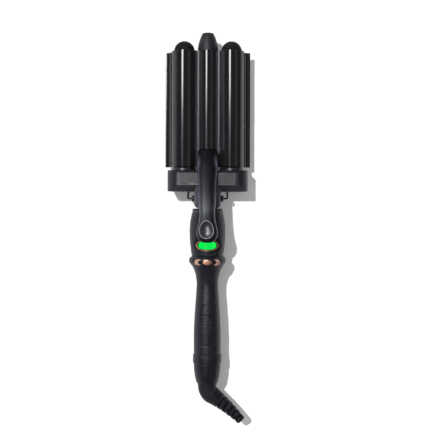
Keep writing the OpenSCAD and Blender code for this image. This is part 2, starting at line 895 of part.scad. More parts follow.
module handle_rear_shell() {
    color("#242426")
        placed()
            difference() {
                union() {
                    intersection() {
                        handle_tube();
                        block(-40, 40, -grip_end - 1, 0, -40, 0);
                    }
                    intersection() {
                        handle_solid(handle_wall / 2);
                        for (p = handle_screw_places())
                            translate([p[0], p[1], -30])
                                cylinder(h = 30, r = boss_rear_r);
                    }
                    // Ledges that carry the power board
                    intersection() {
                        handle_solid(handle_wall / 2);
                        for (drop = [power_board_start() + 6, power_board_end() - 8])
                            block(-12, 12, -drop - 2, -drop, -12, power_board_z());
                    }
                }
                for (p = handle_screw_places()) {
                    translate([p[0], p[1], -31])
                        cylinder(h = 40, r = screw_r + 0.3);
                    translate([p[0], p[1], -31])
                        cylinder(h = 31 + screw_seat_z, r = screw_head_r + 0.2);
                }
                // Channels for the leads
                for (side = [-1, 1])
                    translate([side * lead_x, 0, lead_z])
                        rod_y(lead_r + 0.3, -power_board_start() - 4, -bulge_start);
            }
}

module handle_screws() {
    color("#5a5a5e")
        placed()
            for (p = handle_screw_places())
                translate([p[0], p[1], 0])
                    screw(8.2);
}

module handle_top_cap() {
    low = -bulge_start + 0.2;
    high = low + top_cap_length;
    round_r = 1.1;
    color("#1f1f22")
        placed()
            difference() {
                turned()
                    polygon(concat(
                        [[0, low], [bulge_top_r, low], [bulge_top_r - 0.3, high - round_r]],
                        arc([bulge_top_r - 0.3 - round_r, high - round_r], round_r, 0, 90),
                        [[0, high]]));
                rod_y(neck_spigot_r + seat, low - 1, high + 1);
            }
}

module display_bezel() {
    color("#b87450")
        placed()
            intersection() {
                at_display()
                    difference() {
                        polygon(oval(window_w / 2 + bezel_rim, window_h / 2 + bezel_rim));
                        polygon(oval(window_w / 2 + seat, window_h / 2 + seat));
                    }
                band(display_r - recess_depth, display_r - recess_depth + 0.9, -ring_start, -bulge_start);
            }
}

module display_window() {
    color("#19d24a")
        placed()
            intersection() {
                at_display()
                    polygon(oval(window_w / 2, window_h / 2));
                band(window_r - 1.6, window_r, -ring_start, -bulge_start);
            }
}

module display_module() {
    half_w = window_w / 2 - 1.8;
    half_h = window_h / 2;
    top = sqrt(pow(bulge_at(display_drop + half_h) - handle_wall, 2) - pow(half_w, 2)) - 0.2;
    color("#dfe4df")
        placed()
            block(-half_w, half_w, -display_drop - half_h, -display_drop + half_h,
                board_top, top);
}

function button_profile() = [
    [core_r + seat, -ring_start], [core_r + 1.2, -ring_start], [ring_r - 0.8, -ring_start - 1.2],
    [ring_r - 0.2, -ring_start - 2.6], [ring_r, -ring_start - 4.4], [ring_r - 0.3, -ring_start - 6],
    [ring_r - 3.4, -ring_start - 10.2], [grip_at(ring_end), -ring_end]];

module button_plan(side, grow) {
    if (side == 0)
        polygon(oval(power_w / 2 + grow, power_h / 2 + grow));
    else
        difference() {
            translate([side * side_button_x, 0])
                polygon(oval(side_button_w / 2 + grow, side_button_h / 2 + grow));
            translate([side * (side_button_x - 2.55), 0])
                circle(2.4 - grow);
        }
}

module button_hole(side) {
    translate([0, -button_drop, foot_top - foot_t - button_travel - 0.2])
        linear_extrude(height = 30)
            button_plan(side, button_clearance);
}

module control_ring() {
    color("#202023")
        placed()
            difference() {
                turned()
                    polygon(concat(button_profile(),
                        [[grip_at(ring_end) - core_inset + seat, -ring_end], [core_r + seat, -ring_end + 2.6]]));
                for (side = [-1, 0, 1])
                    button_hole(side);
            }
}

// Button with a domed face that follows the ring, and a foot over its switch
module button(side) {
    proud = 0.45;
    color("#c07a52")
        placed() {
            intersection() {
                translate([0, -button_drop, foot_top - foot_t])
                    linear_extrude(height = 30)
                        button_plan(side, 0);
                turned()
                    polygon([[0, -ring_end], [ring_r + proud - 2, -ring_end], [ring_r + proud, -button_drop - 3],
                        [ring_r + proud, -button_drop + 3], [ring_r + proud - 1, -ring_start], [0, -ring_start]]);
            }
            block(side * switch_x - 2, side * switch_x + 2, -button_drop - 4.2, -button_drop + 4.2,
                foot_top - foot_t, foot_top);
        }
}

module minus_button() {
    button(-1);
}

module power_button() {
    button(0);
}

module plus_button() {
    button(1);
}

module control_board() {
    color("#1d5c37")
        placed()
            intersection() {
                handle_solid(handle_wall + 0.3);
                union() {
                    block(-boss_x + boss_r + 0.4, boss_x - boss_r - 0.4, -ring_start, -bulge_start - 22,
                        board_top - board_t, board_top);
                    block(-20, 20, -ring_end + 3, -ring_start - 0.2, board_top - board_t, board_top);
                    block(-8, 8, -ring_start - 1, -ring_start + 1, board_top - board_t, board_top);
                }
            }
}

module tactile_switches() {
    body_h = switch_h - 0.8;
    color("#3a3a3a")
        placed()
            for (side = [-1, 0, 1])
                translate([side * switch_x, -button_drop, board_top]) {
                    block(-2.6, 2.6, -3, 3, 0, body_h);
                    cylinder(h = switch_h, r = 1.5, $fn = 32);
                }
}

module grip_sleeve() {
    color("#232326")
        placed()
            difference() {
                turned()
                    polygon(concat(grip_line(0),
                        [for (i = [2 * curve_steps : -1 : 0]) grip_line(core_inset - 0.05)[i]]));
                for (i = [0 : groove_count - 1])
                    let (drop = groove_start + i * groove_pitch)
                        band(grip_at(drop) - groove_depth, grip_end_r + 3,
                            -drop - groove_w / 2, -drop + groove_w / 2);
            }
}

function power_board_start() = grip_waist + power_board_in;
function power_board_end() = grip_end - power_board_in;
function power_board_z() = -5.6;

module power_board() {
    half_w = grip_waist_r - sleeve_t - handle_wall - 1.3;
    color("#2a6b3c")
        placed()
            block(-half_w, half_w, -power_board_end(), -power_board_start() + 0.2,
                power_board_z(), power_board_z() + board_t);
}

module power_components() {
    base = power_board_z() + board_t;
    color("#3c3c44")
        placed() {
            block(-4, 4, -power_board_start() - 15, -power_board_start() - 4, base, base + 6);
            translate([0, -power_board_start() - 22, base])
                cylinder(h = 8, r = 4);
            block(-3.5, 3.5, -power_board_end() + 3, -power_board_end() + 9, base, base + 5);
        }
}

module mains_leads() {
    color("#2a3f7a")
        placed()
            for (side = [-1, 1])
                translate([side * 3.4, 0, power_board_z() + board_t / 2])
                    rod_y(1.2, -plate_top(), -power_board_end());
}

// ---------- end ring, end cup and swivel ----------

function plate_top() = cup_start + 2;
function plate_low() = plate_top() + 1.6;
function flange_top() = cup_start + 11.4;

module end_ring() {
    lip = 0.7;
    color("#222224")
        placed()
            difference() {
                turned()
                    polygon([[0, -cup_start + 0.1], [end_ring_r - 0.3, -cup_start + 0.1],
                        [end_ring_r, -cup_start + 0.5], [end_ring_r, -grip_end - lip],
                        [end_ring_r - lip, -grip_end - 0.1], [0, -grip_end - 0.1]]);
                rod_y(grip_at(grip_end) - core_inset - handle_wall, -cup_start - 1, -grip_end + 1);
            }
}

// Outer radius of the end cup at a share of its length
function cup_at(t) = end_ring_r - 1 - (end_ring_r - 1 - end_cup_mouth_r) * pow(t, 2.2);

module end_cup() {
    color("#222224")
        placed()
            difference() {
                turned()
                    polygon(concat([[0, -cup_start]],
                        [for (i = [0 : 12]) [cup_at(i / 12), -cup_start - (end_cup_length - 0.6) * i / 12]],
                        [[end_cup_mouth_r - 0.6, -cup_end], [0, -cup_end]]));
                rod_y(cup_in_r, -flange_top() - 2.4, -cup_start + 1);
                rod_y(relief_r + free_gap / 2, -cup_end - 1, -cup_start);
            }
}

module contact_plate() {
    color("#2f5d40")
        placed()
            rod_y(cup_in_r - seat, -plate_low(), -plate_top());
}

module contact_pins() {
    color("#c9a24a")
        placed()
            for (x = [3, 8])
                translate([x, 0, 0])
                    rod_y(1, -flange_top() + 0.8 + 0.3, -plate_low());
}

module slip_rings() {
    color("#c9a24a")
        placed()
            for (x = [3, 8])
                band(x - 1.3, x + 1.3, -flange_top(), -flange_top() + 0.8);
}

module swivel_hub() {
    color("#1c1c1e")
        placed() {
            rod_y(cup_in_r - 0.3, -flange_top() - 2.1, -flange_top());
            rod_y(relief_r, -relief_start, -flange_top() - 2);
        }
}

// Centre of the tail at a share of its length, seen from the front
function tail_point(t) = let (first = 90 - elbow_turn, a = tail_turn * t)
    [elbow_end[0] + tail_r * (sin(first + a) - sin(first)),
        elbow_end[1] - tail_r * (cos(first) - cos(first + a))];
function tail_dir(t) = let (a = 90 - elbow_turn + tail_turn * t) [cos(a), -sin(a)];
function tail_radius(t) = elbow_side_r - (elbow_side_r - relief_tail_r) * pow(t, 0.85);

// Ring of points round a centre, square to a direction
function ring_at(p, d, r, sides = 40) =
    [for (k = [0 : sides - 1]) let (a = -360 * k / sides)
        [p[0] - r * cos(a) * d[1], p[1] + r * cos(a) * d[0], r * sin(a)]];
function tail_ring(t, inset) = ring_at(tail_point(t), tail_dir(t), tail_radius(t) - inset);
function elbow_ring(a) = ring_at(
    [elbow_r * (1 - cos(a)), -elbow_start - elbow_r * sin(a)], [sin(a), -cos(a)], elbow_side_r);

// Rings of one groove and the rib after it
function rib_rings(i) = let (step = 0.1 / tail_length, groove = ribs_from + rib_pitch * i,
        rib = groove + rib_pitch * (1 - rib_share), next = groove + rib_pitch) [
    tail_ring(groove + step, rib_depth),
    tail_ring(rib - step, rib_depth),
    tail_ring(rib + step, 0),
    tail_ring(next - step, 0)];

// Cone from the hub, elbow, smooth stretch, then the ribs
module relief_body() {
    bend_steps = 11;
    skin(concat(
        [ring_at([0, -relief_start], [0, -1], relief_r)],
        [for (i = [0 : bend_steps]) elbow_ring(elbow_turn * i / bend_steps)],
        [for (t = [0.1, 0.19, ribs_from - 0.002]) tail_ring(t, 0)],
        [for (i = [0 : rib_count - 1]) each rib_rings(i)]));
}

// Turns what is drawn along X to the tail's direction at a share of its length
module at_tail(t, turn_share) {
    translate([tail_point(t)[0], tail_point(t)[1], 0])
        rotate([0, 0, atan2(tail_dir(turn_share)[1], tail_dir(turn_share)[0])])
            children();
}

module strain_relief() {
    slit_count = 3;
    slit_w = 0.8;
    slit_depth = 4;
    color("#1e1e20")
        placed()
            difference() {
                relief_body();
                // Slits on the inner side of the bend
                for (i = [0 : slit_count - 1])
                    let (t = 0.045 + 0.06 * i)
                        at_tail(t, t)
                            translate([-slit_w / 2, tail_radius(t) - slit_depth, -elbow_side_r])
                                cube([slit_w, slit_depth * 2, 2 * elbow_side_r]);
                // Hole for the cord
                at_tail(1, 0.85)
                    rotate([0, -90, 0])
                        translate([0, 0, -2])
                            cylinder(h = cord_bore_length + 2, r = cord_bore_r);
            }
}

// ---------- moving jaw ----------

// Arch of the wing to the right of the middle barrel
module arch_section() {
    translate([barrel_pitch, 0])
        intersection() {
            shell_ring();
            union() {
                translate([-shell_out_r, web_edge])
                    square([shell_out_r + 1, shell_out_r]);
                translate([0, -0.4])
                    square([shell_out_r + 1, shell_out_r + 1]);
            }
        }
}

// Flared lip along the wing's outer edge
module lip_section() {
    lip_out = lip_r + shell_wall;
    translate([barrel_pitch + shell_out_r + lip_r, 0])
        intersection() {
            difference() {
                circle(lip_out);
                circle(lip_r);
            }
            translate([-lip_out - 1, -lip_out - 1])
                square([lip_out + 1, lip_out + 1]);
        }
}

module moving_jaw() {
    color("#0f0f11")
        placed() {
            along_y(jaw_start, jaw_end)
                barrel_section();
            for (side = [0, 1])
                mirror([side, 0, 0]) {
                    along_y(jaw_start, jaw_end)
                        web_section();
                    along_y(jaw_start, jaw_end)
                        arch_section();
                    along_y(jaw_start, jaw_end)
                        lip_section();
                }
        }
}

module cool_tip() {
    belly = 1.1; // how far the sides swell past a straight cone
    steps = 10;
    end_r = cool_tip_d / 2;
    color("#1a1a1c")
        placed()
            translate([0, jaw_end, 0]) {
                turned()
                    polygon(concat([[0, 0]],
                        [for (i = [0 : steps]) let (t = i / steps)
                            [barrel_r + (end_r - barrel_r) * t + belly * sin(180 * t),
                                (cool_tip_length - 0.8) * t]],
                        [[end_r - 0.8, cool_tip_length], [0, cool_tip_length]]));
                rod_y(bore_r - seat, -spigot_length, 0.5);
            }
}

module barrel_end_plug() {
    plug_flange = 1.6;
    color("#1c1c1e")
        placed() {
            rod_y(bore_r - seat, jaw_start - 0.5, jaw_start + spigot_length);
            rod_y(barrel_r - 0.4, jaw_start - plug_flange, jaw_start);
        }
}

module middle_heater() {
    color("#d8d2c4")
        placed()
            heater_strip(0);
}

module middle_heater_clamps() {
    color("#b9bcc0")
        placed()
            heater_clamps(0);
}

// ---------- lever ----------

// Height of the pad's top at a share of the lever's reach
function pad_line(share) = pad_top - 1 + (dish_y + pad_reach * share) * tan(dish_slope);

// Stations of the cover from the foot to the pad: Y, half width, underside, top
stations = [
    [foot_reach, foot_w * 0.28, barrel_r + 1, barrel_r + 4.9],
    [foot_reach - 0.7, foot_w * 0.42, barrel_r - 0.5, barrel_r + 7.2],
    [foot_reach - 2.6, foot_w * 0.49, foot_side_z, barrel_r + 8.5],
    [foot_reach - 10, foot_w * 0.505, foot_side_z, barrel_r + 9.2],
    [foot_reach - 16, foot_w * 0.525, foot_side_z, barrel_r + 9.5],
    [jaw_start - 0.4, shoulder_w * 0.5, cover_low - 4.4, cover_low + 2.8],
    [jaw_start - 4, shoulder_w * 0.495, cover_low, cover_low + 3.2],
    [20, shoulder_w * 0.45, cover_low + 0.1, cover_low + 4.5],
    [8.7, shoulder_w * 0.42, cover_low + 0.2, cover_low + 6.6],
    [0, (shoulder_w + waist_w) * 0.233, cover_low + 0.6, cover_low + 8.6],
    [-9, waist_w * 0.525, cover_low + 2.9, cover_low + 11],
    [-18, waist_w * 0.5, pad_top - pad_t - 4.4, pad_top - 2.4],
    [-pad_reach * 0.55, waist_w * 0.25 + pad_w * 0.225, pad_top - pad_t - 2.3, pad_line(0.55) + 0.4],
    [-pad_reach * 0.69, pad_w * 0.485, pad_top - pad_t - 0.7, pad_line(0.69)],
    [-pad_reach * 0.8, pad_w * 0.5, pad_top - pad_t, pad_line(0.8)],
    [-pad_reach * 0.9, pad_w * 0.445, pad_top - pad_t + 0.7, pad_line(0.9)],
    [-pad_reach * 0.97, pad_w * 0.31, pad_top - pad_t + 1.5, pad_top - 0.4],
    [-pad_reach, pad_w * 0.14, pad_top - pad_t + 2.2, pad_top - 1.3]];

// Squared-off oval round a station
function station_ring(s, count = 28, power = 0.62) = [for (i = [count - 1 : -1 : 0])
    let (a = 360 * i / count, c = cos(a), d = sin(a))
        [s[1] * sign(c) * pow(abs(c), power), s[0],
            (s[2] + s[3]) / 2 + (s[3] - s[2]) / 2 * sign(d) * pow(abs(d), power)]];

// Side view of the chassis, with its foot plate on the barrel
function chassis_line(grow) = [
    [foot_reach - 4 + grow, 4], [jaw_start + 1, 4], [jaw_start - 3.6, over_bar - grow],
    [2, over_bar - grow], [-7 - grow, over_bar + 2.2 - grow], [-7 - grow, chassis_top + 1.6 + grow],
    [-4, chassis_top + 0.7 + grow], [jaw_start - 3, chassis_top + grow],
    [jaw_start + 2, plate_top_z + grow], [foot_reach - 4 + grow, plate_top_z + grow]];

module chassis_solid(grow) {
    along_x(-chassis_w / 2 - grow, chassis_w / 2 + grow)
        polygon(chassis_line(grow));
}

module lever_chassis() {
    color("#303034")
        placed()
            difference() {
                union() {
                    chassis_solid(0);
                    for (side = [0, 1])
                        mirror([side, 0, 0]) {
                            rod_x(ear_r, chassis_w / 2 - ear_t, chassis_w / 2);
                            along_x(chassis_w / 2 - ear_t, chassis_w / 2)
                                polygon([[-3.4, 0], [ear_r - 0.2, 0], [11, over_bar + 0.5], [-4.4, over_bar + 0.5]]);
                        }
                }
                rod_y(barrel_r + seat / 2, jaw_start - 3, foot_reach + 2);
                rod_x(pin_r + pin_clearance, -chassis_w, chassis_w);
                for (y = foot_screw_places())
                    translate([0, y, 0])
                        cylinder(h = 30, r = screw_r + 0.1);
            }
}

function foot_screw_places() = [foot_reach - 8, jaw_start + 5.5];

// Screws that clamp the chassis to the barrel, through the barrel's wall
module foot_screws() {
    color("#6a6a6e")
        placed()
            for (y = foot_screw_places())
                translate([0, y, 0]) {
                    translate([0, 0, plate_top_z + 0.02])
                        cylinder(h = 1.4, r = screw_head_r);
                    translate([0, 0, barrel_r + 0.1])
                        cylinder(h = plate_top_z - barrel_r, r = screw_r);
                }
}

// Egg shape of the thumb dish, with its narrow end towards the pin
function egg(grow) = [for (i = [0 : 39]) let (a = 360 * i / 40)
    [(dish_w / 2 + grow) * cos(a) * (1 - 0.12 * sin(a)), (dish_length / 2 + grow) * sin(a)]];

module at_dish() {
    translate([0, dish_y, pad_top - 1])
        rotate([-dish_slope, 0, 0])
            children();
}

module lever_cover() {
    color("#2a2a2d")
        placed()
            difference() {
                skin([for (s = stations) station_ring(s)]);
                rod_y(barrel_r + seat / 2, jaw_start - 2, foot_reach + 2);
                chassis_solid(seat);
                for (y = foot_screw_places())
                    translate([0, y, plate_top_z])
                        cylinder(h = 1.6, r = screw_head_r + 0.2);
                at_dish()
                    translate([0, 0, -dish_depth])
                        linear_extrude(height = 8)
                            polygon(egg(0));
            }
}

// Raised rim and shallow floor of the thumb dish
module thumb_dish_rim() {
    color("#3a3a3e")
        placed()
            at_dish()
                difference() {
                    translate([0, 0, -dish_depth + 0.02])
                        linear_extrude(height = dish_depth + dish_rim)
                            polygon(egg(-seat));
                    translate([0, 0, -0.5])
                        linear_extrude(height = 4)
                            polygon(egg(-0.9));
                }
}

// ---------- stand bail ----------

module stand_bail() {
    half = bail_w / 2;
    inner = pin_half - bail_end_in;
    outer = neck_w / 2 + pin_cap_t + 1; // the round ends run from here into the pin
    color("#101012")
        placed() {
            wire([
                [-outer, 0, 0], [-half, 0, 0], [-half, bail_crank, bail_z], [-half, bail_reach, bail_z],
                [half, bail_reach, bail_z], [half, bail_crank, bail_z], [half, 0, 0], [outer, 0, 0]],
                bail_wire_r, bail_bend_r, [0, 0, 1]);
            for (side = [0, 1])
                mirror([side, 0, 0])
                    rod_x(bail_end_r, inner, outer + 0.6);
        }
}

fixed_jaw();
left_dome_cap();
right_dome_cap();
barrel_collars();
fixed_heaters();
fixed_heater_clamps();
thermal_fuse();
thermistor();
housing_front();
housing_rear();
housing_screws();
head_leads();
hinge_pin();
pin_caps();
torsion_spring();
handle_top_cap();
handle_front_shell();
handle_rear_shell();
handle_screws();
display_bezel();
display_window();
display_module();
control_ring();
control_board();
tactile_switches();
grip_sleeve();
power_board();
power_components();
mains_leads();
end_ring();
end_cup();
contact_plate();
contact_pins();
moving_jaw();
cool_tip();
barrel_end_plug();
middle_heater();
middle_heater_clamps();
lever_chassis();
lever_cover();
thumb_dish_rim();
foot_screws();
stand_bail();
swivel_hub();
slip_rings();
strain_relief();
minus_button();
power_button();
plus_button();
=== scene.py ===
from functools import partial
from math import asin, atan2, copysign, cos, degrees, exp, hypot, pi, radians, sin, sqrt, tau

import bmesh
import bpy
from mathutils import Matrix, Vector


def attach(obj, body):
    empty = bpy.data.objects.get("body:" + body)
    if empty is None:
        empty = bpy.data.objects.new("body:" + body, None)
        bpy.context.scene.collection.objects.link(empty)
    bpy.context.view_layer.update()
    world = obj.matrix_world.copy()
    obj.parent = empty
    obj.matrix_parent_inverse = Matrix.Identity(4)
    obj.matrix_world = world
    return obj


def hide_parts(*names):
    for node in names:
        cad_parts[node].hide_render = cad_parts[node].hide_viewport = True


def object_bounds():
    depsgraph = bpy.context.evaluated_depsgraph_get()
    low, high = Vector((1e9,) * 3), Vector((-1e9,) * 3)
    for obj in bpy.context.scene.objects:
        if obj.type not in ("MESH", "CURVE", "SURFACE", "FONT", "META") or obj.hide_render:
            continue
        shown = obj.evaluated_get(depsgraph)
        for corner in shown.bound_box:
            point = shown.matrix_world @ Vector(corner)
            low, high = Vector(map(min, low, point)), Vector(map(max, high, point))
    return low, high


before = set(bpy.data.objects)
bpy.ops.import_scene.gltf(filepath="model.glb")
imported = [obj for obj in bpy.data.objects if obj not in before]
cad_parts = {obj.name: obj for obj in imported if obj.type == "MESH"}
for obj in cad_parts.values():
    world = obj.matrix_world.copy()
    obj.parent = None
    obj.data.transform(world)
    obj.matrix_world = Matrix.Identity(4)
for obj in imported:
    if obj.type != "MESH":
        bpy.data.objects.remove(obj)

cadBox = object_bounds()

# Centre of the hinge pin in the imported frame, in mm: pieces are drawn round it
# with x across, y towards the tips and z up from the table
hingePin = Vector((0.0, 32.8915, 20.2))


def newObject(name, data):
    made = bpy.data.objects.new(name, data)
    bpy.context.scene.collection.objects.link(made)
    return made


def revolve(bm, profile, steps=96, axisX=0.0, closed=True):
    # profile is a list of (radius, y) or (radius, y, corner rounding)
    verts = [bm.verts.new((axisX + point[0], point[1], 0.0)) for point in profile]
    edges = [bm.edges.new(pair) for pair in zip(verts, verts[1:])]
    if closed:
        edges.append(bm.edges.new((verts[-1], verts[0])))
    for vert, point in zip(verts, profile):
        if len(point) > 2:
            bmesh.ops.bevel(bm, geom=[vert], offset=point[2], offset_type="OFFSET", segments=5,
                            profile=0.5, affect="VERTICES", material=-1, clamp_overlap=True)
    bmesh.ops.spin(bm, geom=bm.verts[:] + bm.edges[:], cent=(axisX, 0, 0), axis=(0, 1, 0),
                   dvec=(0, 0, 0), angle=tau, steps=steps, use_merge=True, use_duplicate=False)
    bmesh.ops.remove_doubles(bm, verts=bm.verts[:], dist=0.0005)
    bmesh.ops.recalc_face_normals(bm, faces=bm.faces[:])


def drawFace(bm, start, strokes):
    # closed outline in X and Z: (x, z) draws a line, (x, z, degrees, steps) an arc about (x, z)
    last = bm.verts.new((start[0], 0.0, start[1]))
    loop = [last]
    for stroke in strokes:
        if len(stroke) == 2:
            last = bm.verts.new((stroke[0], 0.0, stroke[1]))
            loop.append(last)
        else:
            count = len(bm.verts)
            bmesh.ops.spin(bm, geom=[last], cent=(stroke[0], 0, stroke[1]), axis=(0, 1, 0),
                           dvec=(0, 0, 0), angle=-radians(stroke[2]), steps=stroke[3],
                           use_merge=False, use_duplicate=False)
            bm.verts.ensure_lookup_table()
            loop += bm.verts[count:]
            last = loop[-1]
    if (last.co - loop[0].co).length < 0.001:
        bm.verts.remove(loop.pop())
    return bm.faces.new(loop)


def pull(bm, low, high):
    # a section drawn at Y 0 becomes a block from low to high
    bmesh.ops.translate(bm, vec=(0, low, 0), verts=bm.verts[:])
    grown = bmesh.ops.extrude_face_region(bm, geom=bm.faces[:], use_keep_orig=True)["geom"]
    ends = [v for v in grown if isinstance(v, bmesh.types.BMVert)]
    bmesh.ops.translate(bm, vec=(0, high - low, 0), verts=ends)


def loft(bm, rings, ends=True):
    # rings are lists of verts; each is bridged to the next
    for low, high in zip(rings, rings[1:]):
        edges = []
        for ring in (low, high):
            for a, b in zip(ring, ring[1:] + ring[:1]):
                edges.append(bm.edges.get((a, b)) or bm.edges.new((a, b)))
        bmesh.ops.bridge_loops(bm, edges=edges)
    if ends:
        bm.faces.new(rings[0])
        bm.faces.new(rings[-1])
    bmesh.ops.recalc_face_normals(bm, faces=bm.faces[:])


def ringOf(bm, matrix, segments, power=1.0):
    # circle of radius 1 in X and Y, squared off by a power below 1, then set in place
    verts = bmesh.ops.create_circle(bm, cap_ends=False, radius=1.0, segments=segments)["verts"]
    for vert in verts:
        for axis in (0, 1):
            vert.co[axis] = copysign(abs(vert.co[axis]) ** power, vert.co[axis])
    bmesh.ops.transform(bm, matrix=matrix, verts=verts)
    return verts


def roundBar(bm, radius, start, end, segments=24):
    # closed cylinder between two points
    start, end = Vector(start), Vector(end)
    along = end - start
    place = Matrix.Translation((start + end) / 2) @ along.to_track_quat("Z", "Y").to_matrix().to_4x4()
    bmesh.ops.create_cone(bm, cap_ends=True, cap_tris=False, segments=segments, radius1=radius,
                          radius2=radius, depth=along.length, matrix=place)


def boxOf(bm, low, high):
    low, high = Vector(low), Vector(high)
    size = high - low
    place = Matrix.Translation((low + high) / 2) @ Matrix.Diagonal((size.x, size.y, size.z, 1.0))
    return bmesh.ops.create_cube(bm, size=1.0, matrix=place)["verts"]


def trim(bm, point, normal):
    # cuts away what lies beyond a plane and closes the cut
    geom = bm.verts[:] + bm.edges[:] + bm.faces[:]
    cut = bmesh.ops.bisect_plane(bm, geom=geom, dist=0.0001, plane_co=point, plane_no=normal,
                                 clear_outer=True, clear_inner=False)["geom_cut"]
    edges = [e for e in cut if isinstance(e, bmesh.types.BMEdge)]
    bmesh.ops.edgeloop_fill(bm, edges=edges)


def asMesh(shape):
    # a bmesh becomes a mesh with its faces turned outwards; a mesh stays as it is
    if isinstance(shape, bpy.types.Mesh):
        return shape
    bmesh.ops.recalc_face_normals(shape, faces=shape.faces[:])
    mesh = bpy.data.meshes.new("shape")
    shape.to_mesh(mesh)
    shape.free()
    return mesh


def carve(shape, cutters, operation="DIFFERENCE"):
    # boolean of a shape with each cutter in turn, all still in mm
    body = newObject("body", asMesh(shape))
    for cutterShape in cutters:
        cutter = newObject("cutter", asMesh(cutterShape))
        modifier = body.modifiers.new("cut", "BOOLEAN")
        modifier.object, modifier.operation, modifier.solver = cutter, operation, "EXACT"
        depsgraph = bpy.context.evaluated_depsgraph_get()
        result = bpy.data.meshes.new_from_object(body.evaluated_get(depsgraph))
        body.modifiers.clear()
        body.data = result
        bpy.data.objects.remove(cutter)
    result = body.data
    bpy.data.objects.remove(body)
    return result


screwHead = {"bore": 2.5, "seat": -5.0}


def screwHoles(places, bottom):
    # counterbores that open at the back
    holes = bmesh.new()
    for x, y in places:
        roundBar(holes, screwHead["bore"], (x, y, screwHead["seat"]), (x, y, bottom), 32)
    return holes


def otherHalf(side, low, high):
    # block over what isn't kept: the rear half for side 1, the front half for side -1
    block = bmesh.new()
    boxOf(block, (-60, low, -40 if side > 0 else 0), (60, high, 0 if side > 0 else 40))
    return block


def addPiece(name, source, material, body, node, edge=0.0, edgeAngle=50, smoothAngle=38):
    # source is a bmesh or a mesh in mm round the hinge pin; the piece stands for the node
    bm = source
    if not isinstance(source, bmesh.types.BMesh):
        bm = bmesh.new()
        bm.from_mesh(source)
    bmesh.ops.remove_doubles(bm, verts=bm.verts[:], dist=0.0008)
    bmesh.ops.recalc_face_normals(bm, faces=bm.faces[:])
    bmesh.ops.translate(bm, vec=hingePin, verts=bm.verts[:])
    bmesh.ops.scale(bm, vec=(0.001, 0.001, 0.001), verts=bm.verts[:])
    mesh = bpy.data.meshes.new(name)
    bm.to_mesh(mesh)
    bm.free()
    for polygon in mesh.polygons:
        polygon.use_smooth = True
    mesh.set_sharp_from_angle(angle=radians(smoothAngle))
    mesh.materials.append(material)
    piece = newObject(name, mesh)
    if edge:
        bevel = piece.modifiers.new("edges", "BEVEL")
        bevel.width, bevel.segments = edge * 0.001, 3
        bevel.limit_method, bevel.angle_limit = "ANGLE", radians(edgeAngle)
        bevel.use_clamp_overlap = True
        weighted = piece.modifiers.new("shading", "WEIGHTED_NORMAL")
        weighted.keep_sharp = True
    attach(piece, body)
    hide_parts(node)
    return piece


def dress(piece, material, chosen):
    # gives the material to the faces that chosen(place in mm round the pin, normal) picks
    piece.data.materials.append(material)
    for polygon in piece.data.polygons:
        if chosen(polygon.center * 1000 - hingePin, polygon.normal):
            polygon.material_index = len(piece.data.materials) - 1


def mathNode(tree, operation, first, second=None, clamp=False):
    node = tree.nodes.new("ShaderNodeMath")
    node.operation, node.use_clamp = operation, clamp
    for socket, value in zip(node.inputs, (first, second)):
        if value is None:
            continue
        if isinstance(value, (int, float)):
            socket.default_value = value
        else:
            tree.links.new(value, socket)
    return node.outputs[0]


def axesOf(tree, vector):
    split = tree.nodes.new("ShaderNodeSeparateXYZ")
    tree.links.new(vector, split.inputs[0])
    return split.outputs


def placeOf(tree, kind="Object"):
    return tree.nodes.new("ShaderNodeTexCoord").outputs[kind]


def rampOf(tree, value, stops):
    # stops are (position, grey level or colour)
    ramp = tree.nodes.new("ShaderNodeValToRGB")
    elements = ramp.color_ramp.elements
    while len(elements) < len(stops):
        elements.new(0.5)
    for element, (at, tone) in zip(elements, stops):
        element.position, element.color = at, (*(tone if isinstance(tone, tuple) else (tone,) * 3), 1)
    tree.links.new(value, ramp.inputs["Fac"])
    return ramp.outputs["Color"]


def rangeOf(tree, value, fromEnds, toEnds=(0.0, 1.0), kind="LINEAR"):
    node = tree.nodes.new("ShaderNodeMapRange")
    node.interpolation_type = kind
    for key, ends in (("From", fromEnds), ("To", toEnds)):
        node.inputs[key + " Min"].default_value, node.inputs[key + " Max"].default_value = ends
    tree.links.new(value, node.inputs["Value"])
    return node.outputs["Result"]


def mixOf(tree, share, *colours):
    # mixes two colours, each given as RGB or as a socket
    node = tree.nodes.new("ShaderNodeMix")
    node.data_type = "RGBA"
    tree.links.new(share, node.inputs["Factor"])
    for socket, colour in zip((node.inputs["A"], node.inputs["B"]), colours):
        if isinstance(colour, tuple):
            socket.default_value = (*colour, 1)
        else:
            tree.links.new(colour, socket)
    return node.outputs["Result"]


